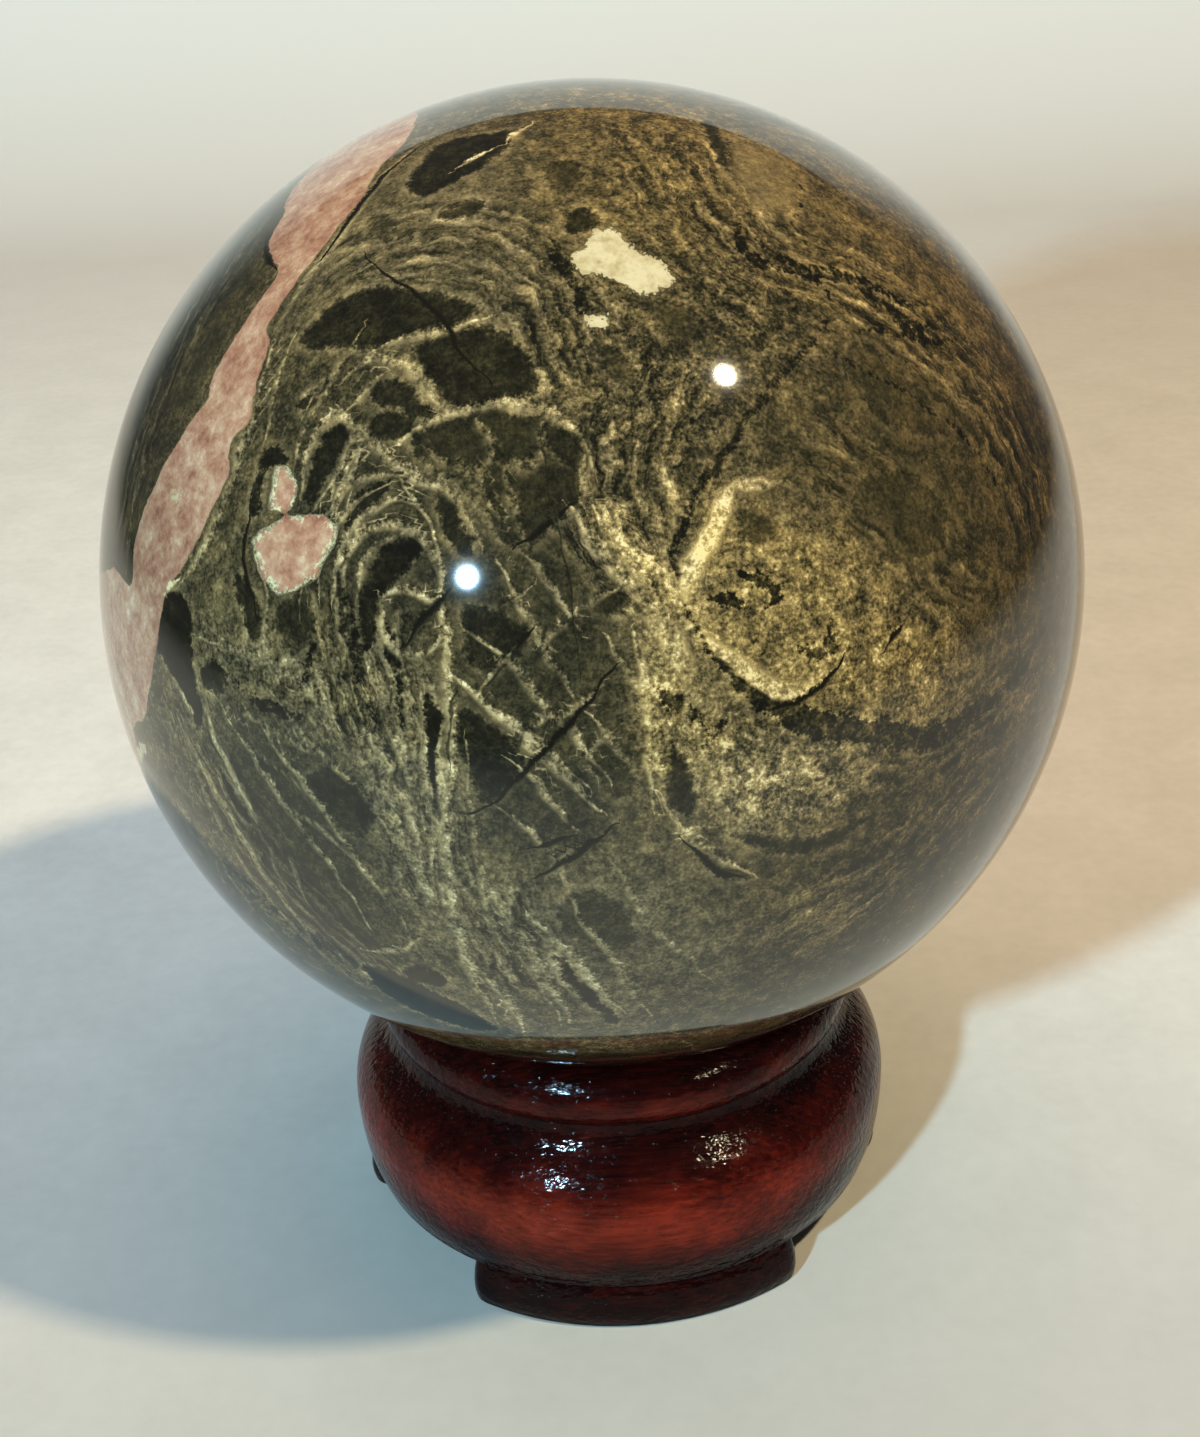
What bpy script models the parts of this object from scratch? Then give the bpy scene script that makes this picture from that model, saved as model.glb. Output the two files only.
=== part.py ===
"""Decorative stone ball resting in a turned wooden stand with three low arc feet.

Metres, +Z up. The origin is on the surface that the feet stand on, under the middle of the ball.
The front is -Y, where the middle of one foot faces almost straight ahead.
"""

import math

import bmesh
import bpy

MM = 0.001

# Ball
BALL_DIAMETER = 100.0 * MM
BALL_SEGMENTS = 56
BALL_RINGS = 28

# Bead: the round rim that carries the ball
BEAD_RING_RADIUS = 23.5 * MM     # axis to the middle of the bead's section
BEAD_RADIUS = 3.5 * MM           # of its section
BEAD_WRAP = math.radians(48)     # how far its outer side turns under, below level
SEAT_GAP = 0.3 * MM              # kept between ball and bead where the ball rests
DISH_GAP = 1.0 * MM              # between ball and the dish inside the bead

# Mouldings under the bead, each measured from the one before
NECK_STEP = 0.15 * MM            # bead's lower edge in to the neck
NECK_RISE = 3.9 * MM             # shoulder's turning point up to the neck
SHOULDER_OUT = 2.3 * MM          # neck out to the shoulder's turning point
SHOULDER_RISE = 6.5 * MM         # belly's widest line up to that point
SHOULDER_SLOPE = math.radians(48)  # the shoulder's lean from upright there
BELLY_OUT = 2.9 * MM             # shoulder's turning point out to the belly
BELLY_RISE = 8.7 * MM            # groove over the feet up to the widest line
GROOVE_IN = 1.7 * MM             # belly in to the groove over the feet

# Feet: arcs of one low ring
FOOT_COUNT = 3
FOOT_HEIGHT = 5.1 * MM           # floor to the groove
FOOT_OUT = 0.9 * MM              # groove out to the foot's outer face
FOOT_TUCK = 0.3 * MM             # outer face in to its lower edge
FOOT_WIDTH = 8.6 * MM            # lower edge in to the ring's inner side
FOOT_CORNER = 2.5 * MM           # round of each upright outer corner
FOOT_TURN = math.radians(2.5)    # front foot's middle, turned towards +X
GAP_ANGLE = math.radians(42)     # open angle between two feet
GAP_ABOVE_GROOVE = 0.3 * MM      # how far each gap cuts into the belly's underside
RECESS_DEPTH = 6.6 * MM          # floor up to the hollow in the stand's underside

TURNED_STEPS = 60                # round the stand
CUTTER_MARGIN = 4.0 * MM         # how far a cutter reaches past what it cuts

STONE_COLOR = (0.20, 0.18, 0.11, 1.0)
LACQUER_COLOR = (0.10, 0.016, 0.008, 1.0)


# Sizes that follow from those above
BALL_RADIUS = BALL_DIAMETER / 2
GROOVE_Z = FOOT_HEIGHT
BELLY_Z = GROOVE_Z + BELLY_RISE
SHOULDER_Z = BELLY_Z + SHOULDER_RISE
NECK_Z = SHOULDER_Z + NECK_RISE
BEAD_Z = NECK_Z + BEAD_RADIUS * math.sin(BEAD_WRAP)
NECK_RADIUS = BEAD_RING_RADIUS + BEAD_RADIUS * math.cos(BEAD_WRAP) - NECK_STEP
SHOULDER_RADIUS = NECK_RADIUS + SHOULDER_OUT
BELLY_RADIUS = SHOULDER_RADIUS + BELLY_OUT
GROOVE_RADIUS = BELLY_RADIUS - GROOVE_IN
FOOT_RADIUS = GROOVE_RADIUS + FOOT_OUT
FOOT_EDGE_RADIUS = FOOT_RADIUS - FOOT_TUCK
FOOT_INNER_RADIUS = FOOT_EDGE_RADIUS - FOOT_WIDTH
BALL_TO_BEAD = BALL_RADIUS + SEAT_GAP + BEAD_RADIUS
BALL_Z = BEAD_Z + math.sqrt(BALL_TO_BEAD ** 2 - BEAD_RING_RADIUS ** 2)


def clear_scene():
    for obj in list(bpy.data.objects):
        bpy.data.objects.remove(obj, do_unlink=True)


def new_collection(name):
    collection = bpy.data.collections.new(name)
    bpy.context.scene.collection.children.link(collection)
    return collection


def add_object(name, mesh, collection):
    obj = bpy.data.objects.new(name, mesh)
    collection.objects.link(obj)
    return obj


def principled(name, color, roughness, coat):
    material = bpy.data.materials.new(name)
    material.use_nodes = True
    shader = material.node_tree.nodes["Principled BSDF"]
    shader.inputs["Base Color"].default_value = color
    shader.inputs["Roughness"].default_value = roughness
    shader.inputs["Metallic"].default_value = 0.0
    shader.inputs["Coat Weight"].default_value = coat
    return material


def arc(centre, radius, start, end, steps):
    """Points (r, z) round a circle, from angle start to angle end, both measured up from +r."""
    turns = [start + (end - start) * i / steps for i in range(steps + 1)]
    return [(centre[0] + radius * math.cos(t), centre[1] + radius * math.sin(t)) for t in turns]


def curve(start, start_handle, end_handle, end, steps):
    """Points (r, z) along one cubic Bezier stretch."""
    points = []
    for i in range(steps + 1):
        t = i / steps
        weights = ((1 - t) ** 3, 3 * (1 - t) ** 2 * t, 3 * (1 - t) * t ** 2, t ** 3)
        stretch = (start, start_handle, end_handle, end)
        points.append(tuple(sum(w * p[axis] for w, p in zip(weights, stretch)) for axis in (0, 1)))
    return points


def dish_and_bead():
    """The hollow under the ball, from the axis out, and the round rim, over its top and under."""
    to_ball = math.atan2(BALL_Z - BEAD_Z, -BEAD_RING_RADIUS)
    dish_radius = BALL_RADIUS + DISH_GAP
    cosine = (BALL_TO_BEAD ** 2 + BEAD_RADIUS ** 2 - dish_radius ** 2) / (2 * BALL_TO_BEAD * BEAD_RADIUS)
    inner_turn = to_ball + math.acos(cosine)
    bead = arc((BEAD_RING_RADIUS, BEAD_Z), BEAD_RADIUS, inner_turn, -BEAD_WRAP, 12)
    dish_end = math.atan2(bead[0][1] - BALL_Z, bead[0][0])
    dish = arc((0.0, BALL_Z), dish_radius, -math.pi / 2, dish_end, 5)
    dish[0] = (0.0, dish[0][1])
    return dish[:-1] + bead


def shoulder_and_belly():
    """From the neck under the bead, down the cove and over the belly to the groove above the feet."""
    neck = (NECK_RADIUS, NECK_Z)
    shoulder = (SHOULDER_RADIUS, SHOULDER_Z)
    belly = (BELLY_RADIUS, BELLY_Z)
    groove = (GROOVE_RADIUS, GROOVE_Z)
    lean = (math.sin(SHOULDER_SLOPE), -math.cos(SHOULDER_SLOPE))
    up_reach = NECK_RISE / 3
    down_reach = SHOULDER_RISE / 3
    above = (shoulder[0] - lean[0] * up_reach, shoulder[1] - lean[1] * up_reach)
    below = (shoulder[0] + lean[0] * down_reach, shoulder[1] + lean[1] * down_reach)
    cove = curve(neck, (neck[0], neck[1] - NECK_RISE / 2), above, shoulder, 5)
    over = curve(shoulder, below, (belly[0], belly[1] + SHOULDER_RISE * 0.45), belly, 5)
    under_handle = (belly[0], belly[1] - BELLY_RISE * 0.4)
    tuck_handle = (groove[0] + GROOVE_IN * 0.75, groove[1] + BELLY_RISE * 0.2)
    under = curve(belly, under_handle, tuck_handle, groove, 6)
    return cove + over[1:] + under[1:]


def foot_ring():
    """The foot ring's outer face, flat underside and inner side, then the hollow's ceiling."""
    face = curve(
        (GROOVE_RADIUS, GROOVE_Z),
        (FOOT_RADIUS - FOOT_TUCK, FOOT_HEIGHT * 0.85),
        (FOOT_RADIUS + FOOT_TUCK, FOOT_HEIGHT * 0.45),
        (FOOT_EDGE_RADIUS, 0.0),
        4,
    )
    inner = [(FOOT_INNER_RADIUS, 0.0), (FOOT_INNER_RADIUS, RECESS_DEPTH), (0.0, RECESS_DEPTH)]
    return face[1:] + inner


def turned_body(name, profile, collection):
    """A solid turned round Z from points (r, z) that run from the axis at the top to it below."""
    mesh = bpy.data.meshes.new(name)
    points = [(r, 0.0, z) for r, z in profile]
    edges = [(i, i + 1) for i in range(len(points) - 1)]
    mesh.from_pydata(points, edges, [])
    obj = add_object(name, mesh, collection)
    screw = obj.modifiers.new("turning", "SCREW")
    screw.axis = "Z"
    screw.angle = 2 * math.pi
    screw.steps = TURNED_STEPS
    screw.render_steps = TURNED_STEPS
    screw.use_merge_vertices = True
    screw.merge_threshold = 0.00001
    screw.use_smooth_shade = True
    return obj


def gap_outline():
    """Plan of one gap between feet, middle on +X, rounding the corners of the feet beside it."""
    half = GAP_ANGLE / 2
    inside = FOOT_INNER_RADIUS - CUTTER_MARGIN
    outside = FOOT_RADIUS + CUTTER_MARGIN
    side = [(inside, 0.0)]
    side += arc((FOOT_RADIUS - FOOT_CORNER, FOOT_CORNER), FOOT_CORNER, -math.pi / 2, -math.pi / 9, 5)
    side += [(outside, side[-1][1])]
    turn = [(x * math.cos(half) - y * math.sin(half), x * math.sin(half) + y * math.cos(half)) for x, y in side]
    return turn + [(x, -y) for x, y in reversed(turn)]


def prism(name, outline, bottom, top):
    """A closed mesh: a flat outline, extruded from bottom to top along Z."""
    flat = bpy.data.curves.new(name, "CURVE")
    flat.dimensions = "2D"
    flat.fill_mode = "BOTH"
    flat.extrude = (top - bottom) / 2
    spline = flat.splines.new("POLY")
    spline.points.add(len(outline) - 1)
    for point, (x, y) in zip(spline.points, outline):
        point.co = (x, y, 0.0, 1.0)
    spline.use_cyclic_u = True
    holder = add_object(name + "_outline", flat, bpy.context.scene.collection)
    graph = bpy.context.evaluated_depsgraph_get()
    mesh = bpy.data.meshes.new_from_object(holder.evaluated_get(graph))
    mesh.name = name
    bpy.data.objects.remove(holder, do_unlink=True)
    work = bmesh.new()
    work.from_mesh(mesh)
    bmesh.ops.remove_doubles(work, verts=work.verts, dist=0.000001)
    bmesh.ops.translate(work, verts=work.verts, vec=(0.0, 0.0, (top + bottom) / 2))
    bmesh.ops.recalc_face_normals(work, faces=work.faces)
    work.to_mesh(mesh)
    work.free()
    return mesh


def cut_gaps(stand, cutters):
    """Cuts the foot ring into feet."""
    mesh = prism("foot_gap", gap_outline(), -CUTTER_MARGIN, GROOVE_Z + GAP_ABOVE_GROOVE)
    step = 2 * math.pi / FOOT_COUNT
    for index in range(FOOT_COUNT):
        cutter = add_object(f"foot_gap_{index + 1}", mesh, cutters)
        cutter.rotation_euler.z = -math.pi / 2 + FOOT_TURN + step * (index + 0.5)
        cutter.hide_render = True
        cutter.display_type = "WIRE"
        cut = stand.modifiers.new(f"gap_{index + 1}", "BOOLEAN")
        cut.operation = "DIFFERENCE"
        cut.solver = "EXACT"
        cut.object = cutter


def make_stand(collection, cutters):
    profile = dish_and_bead() + shoulder_and_belly() + foot_ring()
    stand = turned_body("wooden_stand", profile, collection)
    stand.data.materials.append(principled("red lacquered wood", LACQUER_COLOR, 0.25, 1.0))
    cut_gaps(stand, cutters)
    return stand


def make_ball(collection):
    mesh = bpy.data.meshes.new("stone_ball")
    work = bmesh.new()
    bmesh.ops.create_uvsphere(work, u_segments=BALL_SEGMENTS, v_segments=BALL_RINGS, radius=BALL_RADIUS)
    work.to_mesh(mesh)
    work.free()
    mesh.shade_smooth()
    ball = add_object("stone_ball", mesh, collection)
    ball.location.z = BALL_Z
    mesh.materials.append(principled("polished banded stone", STONE_COLOR, 0.12, 0.0))
    return ball


def main():
    clear_scene()
    parts = new_collection("stone ball on stand")
    cutters = new_collection("cutters")
    make_stand(parts, cutters)
    make_ball(parts)


main()
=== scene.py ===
"""Looks of the polished stone ball and its turned, lacquered stand.

Metres, +Z up, the front is -Y. The stone's pattern is laid on the ball where the camera sees it:
its outlines are points of the 1200 x 1437 picture, cast along the line of sight onto the ball.
"""

import math

import bpy
import numpy as np
from mathutils import Matrix, Vector


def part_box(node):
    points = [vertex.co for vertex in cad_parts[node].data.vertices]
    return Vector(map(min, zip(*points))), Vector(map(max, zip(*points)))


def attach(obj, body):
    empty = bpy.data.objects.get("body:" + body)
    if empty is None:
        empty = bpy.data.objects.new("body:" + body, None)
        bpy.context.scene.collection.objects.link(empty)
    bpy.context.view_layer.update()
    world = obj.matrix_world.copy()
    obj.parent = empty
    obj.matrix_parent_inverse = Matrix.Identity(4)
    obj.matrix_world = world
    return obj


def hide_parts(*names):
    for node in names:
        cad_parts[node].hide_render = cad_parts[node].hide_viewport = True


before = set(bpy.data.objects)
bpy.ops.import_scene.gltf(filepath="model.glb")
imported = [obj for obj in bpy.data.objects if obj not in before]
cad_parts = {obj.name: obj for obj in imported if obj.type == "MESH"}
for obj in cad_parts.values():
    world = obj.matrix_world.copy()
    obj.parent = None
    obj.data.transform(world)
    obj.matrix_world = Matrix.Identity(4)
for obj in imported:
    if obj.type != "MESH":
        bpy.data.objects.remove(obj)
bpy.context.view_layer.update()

MM = 0.001

# Kinds of node, their usual settings, and their sockets that go by number because their names repeat
MATH = "ShaderNodeMath"
RANGE = "ShaderNodeMapRange"
MIX = "ShaderNodeMix"
RAMP = "ShaderNodeValToRGB"
NOISE = "ShaderNodeTexNoise"
SMOOTH = {"interpolation_type": "SMOOTHSTEP"}
COLOUR = {"data_type": "RGBA"}
NUMBER = {"data_type": "FLOAT"}
FROM_LOW = 1
FROM_HIGH = 2
TO_LOW = 3
TO_HIGH = 4
SHARE = 0
NUMBER_A = 2
NUMBER_B = 3
COLOUR_A = 6
COLOUR_B = 7
COLOUR_OUT = 2

# Picture in pixels, and the camera that sees the ball as it does
PICTURE_WIDTH = 1200
PICTURE_HEIGHT = 1437
FOCAL_PIXELS = 2000.0
SENSOR_SIDE = 36.0
CAMERA_DISTANCE = 209.4 * MM
CAMERA_ELEVATION = math.radians(23.5)
CAMERA_DIP = math.radians(-3.96)
CAMERA_ROLL = math.radians(-3.1)
CAMERA_CLIP = 0.01

# Ball, from the frame, and how close its points are set on its front and back
BALL_LOW, BALL_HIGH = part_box("stone_ball")
BALL_MIDDLE = (BALL_LOW + BALL_HIGH) / 2
BALL_RADIUS = (BALL_HIGH.x - BALL_LOW.x) / 2
FRONT_STEP = 0.55 * MM
BACK_STEP = 1.3 * MM
FRONT_ENDS = math.radians(95)
BALL_SEGMENTS = 380


# Small helpers

def linear(code):
    """A hex sRGB colour as linear red, green, blue, alpha."""
    values = [int(code[i:i + 2], 16) / 255 for i in (1, 3, 5)]
    return tuple(v / 12.92 if v <= 0.04045 else ((v + 0.055) / 1.055) ** 2.4 for v in values) + (1.0,)


def add_node(tree, kind, inputs=None, out=0, stops=(), **settings):
    """Adds a node; an input is a value or another node's output, stops are a ramp's places and colours."""
    node = tree.nodes.new(kind)
    for name, value in settings.items():
        setattr(node, name, value)
    for name, value in (inputs or {}).items():
        if isinstance(value, bpy.types.NodeSocket):
            tree.links.new(value, node.inputs[name])
        else:
            node.inputs[name].default_value = value
    for i, (place, code) in enumerate(stops):
        elements = node.color_ramp.elements
        element = elements[i] if i < 2 else elements.new(place)
        element.position = place
        element.color = linear(code)
    return node.outputs[out] if node.outputs else node


def new_material(name):
    """A material, its node tree and its surface shader's node."""
    material = bpy.data.materials.new(name)
    material.use_nodes = True
    tree = material.node_tree
    tree.nodes.clear()
    surface = add_node(tree, "ShaderNodeBsdfPrincipled")
    add_node(tree, "ShaderNodeOutputMaterial", {"Surface": surface})
    return material, tree, surface.node


def weighted(tree, start, *terms):
    """start, plus each value times its weight."""
    total = start
    for value, weight in terms:
        total = add_node(tree, MATH, {0: value, 1: weight, 2: total}, operation="MULTIPLY_ADD")
    return total


def millimetres(tree, stretch=(1.0, 1.0, 1.0)):
    """The surface point in the object's own millimetres, scaled along each axis."""
    place = add_node(tree, "ShaderNodeTexCoord", out="Object")
    scale = tuple(s / MM for s in stretch)
    return add_node(tree, "ShaderNodeVectorMath", {0: place, 1: scale}, operation="MULTIPLY")


def swinging_noise(tree, vector, sizes):
    """Noises that swing about 0, one for each (size in mm, detail, roughness); vector is in mm."""
    swings = []
    for size, detail, roughness in sizes:
        inputs = {"Vector": vector, "Scale": 1.0 / size, "Detail": detail, "Roughness": roughness}
        swings.append(weighted(tree, -0.5, (add_node(tree, NOISE, inputs), 1.0)))
    return swings


def painted(tree, name):
    """The three numbers that a mesh attribute holds."""
    vector = add_node(tree, "ShaderNodeAttribute", out="Vector", attribute_name=name)
    first = add_node(tree, "ShaderNodeSeparateXYZ", {0: vector})
    return first, first.node.outputs[1], first.node.outputs[2]


# Camera

def make_camera():
    """The camera at the photograph's angle and distance, turned so that the ball lies where it does there."""
    back = Vector((0.0, -math.cos(CAMERA_ELEVATION), math.sin(CAMERA_ELEVATION)))
    look = (-back).to_track_quat("-Z", "Y").to_matrix().to_4x4()
    lean = Matrix.Rotation(CAMERA_DIP, 4, "X") @ Matrix.Rotation(CAMERA_ROLL, 4, "Z")
    data = bpy.data.cameras.new("camera")
    data.sensor_width = SENSOR_SIDE
    data.lens = FOCAL_PIXELS / PICTURE_HEIGHT * SENSOR_SIDE
    data.clip_start = CAMERA_CLIP
    data.dof.use_dof = False
    camera = bpy.data.objects.new("camera", data)
    camera.matrix_world = Matrix.Translation(BALL_MIDDLE + back * CAMERA_DISTANCE) @ look @ lean
    bpy.context.scene.collection.objects.link(camera)
    bpy.context.scene.camera = camera
    return camera


def sight(camera, points):
    """Unit vectors from the ball's middle to where the camera sees these picture points on it."""
    points = np.array(points, float)
    turn = np.array(camera.matrix_world.to_3x3())
    eye = np.array(camera.matrix_world.translation - BALL_MIDDLE)
    across = (points[:, 0] - PICTURE_WIDTH / 2) / FOCAL_PIXELS
    up = (PICTURE_HEIGHT / 2 - points[:, 1]) / FOCAL_PIXELS
    rays = np.stack([across, up, -np.ones(len(points))], 1) @ turn.T
    rays /= np.linalg.norm(rays, axis=1)[:, None]
    along = rays @ eye
    reach = along ** 2 - eye @ eye + BALL_RADIUS ** 2
    hits = eye + rays * (-along - np.sqrt(np.maximum(reach, 0.0)))[:, None]
    return hits / np.linalg.norm(hits, axis=1)[:, None]


def ringed_faces(rings, count):
    """Faces of a closed form: a first point, rings of count points each, and a last point."""
    faces = [(0, 1 + i, 1 + (i + 1) % count) for i in range(count)]
    for ring in range(rings - 1):
        a = 1 + ring * count
        b = a + count
        for i in range(count):
            j = (i + 1) % count
            faces.append((a + i, b + i, b + j, a + j))
    last = 1 + rings * count
    a = last - count
    faces += [(last, a + (i + 1) % count, a + i) for i in range(count)]
    return faces


# Floor and light, in metres

FLOOR_HALF_WIDTH = 0.6
FLOOR_FRONT = -0.42
FLOOR_BACK = 0.45
SWEEP_RADIUS = 0.18
SWEEP_HEIGHT = 0.46
SWEEP_STEPS = 12

# Where the paper's tone changes, in millimetres behind or beside the object's middle
NEAR_SHADE = (-130.0, 110.0)
FAR_SHADE = (150.0, 560.0)
FRONT_MARGIN = (-120.0, -380.0)
SIDE_MARGIN = (260.0, 560.0)

# Glints as picture points on the ball, and how far their lamps stand from it
COOL_GLINT = (467, 577)
COOL_DISTANCE = 0.30
WARM_GLINT = (725, 375)
WARM_DISTANCE = 0.52
STAND_LAMP = (0.30, -0.26, 0.40)
OVERHEAD = (0.0, -0.04, 1.2)


def make_floor():
    """A sheet of studio paper: pale under the object and swept up behind, darker in front, with painted shade
    far back and up the sweep.
    """
    profile = [(FLOOR_FRONT, 0.0), (FLOOR_BACK, 0.0)]
    for i in range(1, SWEEP_STEPS + 1):
        turn = math.pi / 2 * i / SWEEP_STEPS
        profile.append((FLOOR_BACK + SWEEP_RADIUS * math.sin(turn), SWEEP_RADIUS * (1 - math.cos(turn))))
    profile.append((FLOOR_BACK + SWEEP_RADIUS, SWEEP_HEIGHT))
    verts = [(side * FLOOR_HALF_WIDTH, y, z) for y, z in profile for side in (-1, 1)]
    faces = [(2 * i, 2 * i + 1, 2 * i + 3, 2 * i + 2) for i in range(len(profile) - 1)]
    mesh = bpy.data.meshes.new("paper_floor")
    mesh.from_pydata(verts, [], faces)
    mesh.shade_smooth()
    floor = bpy.data.objects.new("paper_floor", mesh)
    bpy.context.scene.collection.objects.link(floor)
    material, tree, shader = new_material("matt paper with painted shade")
    place = millimetres(tree)
    side = add_node(tree, "ShaderNodeSeparateXYZ", {0: place})
    depth = side.node.outputs[1]
    # Clouds 14 mm across, and fibres drawn far coarser than they are, 2.6 mm, so that they show
    cloud, fibre = swinging_noise(tree, place, ((14.0, 3.0, 0.5), (2.6, 4.0, 0.6)))
    shade = add_node(tree, RANGE, {0: depth, FROM_LOW: NEAR_SHADE[0], FROM_HIGH: NEAR_SHADE[1]}, **SMOOTH)
    blotch = weighted(tree, 0.5, (cloud, 1.0), (fibre, 1.0))
    pale = add_node(
        tree, MIX, {SHARE: blotch, COLOUR_A: linear("#b8b4a9"), COLOUR_B: linear("#ccc8bd")},
        COLOUR_OUT, **COLOUR)
    paper = add_node(
        tree, MIX, {SHARE: shade, COLOUR_A: linear("#9a968d"), COLOUR_B: pale}, COLOUR_OUT, **COLOUR)
    # Painted shade: the paper darker far back and up the sweep, where the lamps light it more
    far = add_node(tree, RANGE, {0: depth, FROM_LOW: FAR_SHADE[0], FROM_HIGH: FAR_SHADE[1]}, **SMOOTH)
    paper = add_node(
        tree, MIX, {SHARE: far, COLOUR_A: paper, COLOUR_B: linear("#ada89e")}, COLOUR_OUT, **COLOUR)
    # The front and side margins, outside the picture, fade to the room's own brightness
    ahead = add_node(tree, RANGE, {0: depth, FROM_LOW: FRONT_MARGIN[0], FROM_HIGH: FRONT_MARGIN[1]}, **SMOOTH)
    aside = add_node(tree, MATH, {0: side}, operation="ABSOLUTE")
    aside = add_node(tree, RANGE, {0: aside, FROM_LOW: SIDE_MARGIN[0], FROM_HIGH: SIDE_MARGIN[1]}, **SMOOTH)
    margin = add_node(tree, MATH, {0: ahead, 1: aside}, operation="MAXIMUM")
    paper = add_node(
        tree, MIX, {SHARE: margin, COLOUR_A: paper, COLOUR_B: linear("#42403e")}, COLOUR_OUT, **COLOUR)
    tree.links.new(paper, shader.inputs["Base Color"])
    shader.inputs["Roughness"].default_value = 0.85
    shader.inputs["Specular IOR Level"].default_value = 0.2
    mesh.materials.append(material)


def mirrored(camera, glint, distance):
    """Where a lamp stands whose glint shows on the ball at this picture point."""
    normal = Vector(sight(camera, [glint])[0])
    place = BALL_MIDDLE + normal * BALL_RADIUS
    view = (camera.matrix_world.translation - place).normalized()
    return place + (2 * normal.dot(view) * normal - view) * distance


def add_lamp(name, kind, energy, code, size, place):
    """A lamp aimed at the ball's middle, without the fall in brightness of so near a lamp.

    Its energy is in watts, its colour a hex code, its size and place in metres.
    """
    data = bpy.data.lights.new(name, kind)
    data.energy = energy
    data.color = linear(code)[:3]
    data.use_nodes = True
    tree = data.node_tree
    tree.nodes.clear()
    even = add_node(tree, "ShaderNodeLightFalloff", {"Strength": 1.0}, out="Constant")
    glow = add_node(tree, "ShaderNodeEmission", {"Strength": even})
    add_node(tree, "ShaderNodeOutputLight", {"Surface": glow})
    lamp = bpy.data.objects.new(name, data)
    lamp.location = place
    lamp.rotation_mode = "QUATERNION"
    lamp.rotation_quaternion = (Vector(place) - BALL_MIDDLE).to_track_quat("Z", "Y")
    if kind == "POINT":
        data.shadow_soft_size = size
    else:
        data.shape = "DISK"
        data.size = size
        lamp.visible_glossy = False
    bpy.context.scene.collection.objects.link(lamp)
    return lamp


def make_light(camera):
    """A cool and a warm lamp with the two glints and shadows, a faint fill above, and the room's grey."""
    add_lamp("cool_lamp", "POINT", 58.0, "#b4e2ff", 0.010, mirrored(camera, COOL_GLINT, COOL_DISTANCE))
    add_lamp("warm_lamp", "POINT", 33.5, "#ffecc4", 0.016, mirrored(camera, WARM_GLINT, WARM_DISTANCE))
    add_lamp("overhead_fill", "AREA", 3.2, "#ffe0dc", 0.8, BALL_MIDDLE + Vector(OVERHEAD))
    world = bpy.data.worlds.new("soft room")
    world.use_nodes = True
    back = world.node_tree.nodes["Background"]
    back.inputs["Color"].default_value = linear("#b0a9a4")
    back.inputs["Strength"].default_value = 0.22
    bpy.context.scene.world = world
    bpy.context.scene.view_settings.view_transform = "Standard"


def light_stand_only(stand):
    """A small lamp that only the stand sees, for the two glints on its right."""
    lamp = add_lamp("stand_glint_lamp", "POINT", 14.0, "#ffecc4", 0.02, STAND_LAMP)
    only = bpy.data.collections.new("stand only")
    only.objects.link(stand)
    lamp.light_linking.receiver_collection = only
    lamp.light_linking.blocker_collection = only


# Stone pattern: outlines in picture points, and tones from 0, black-green, to 1, cream

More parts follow.
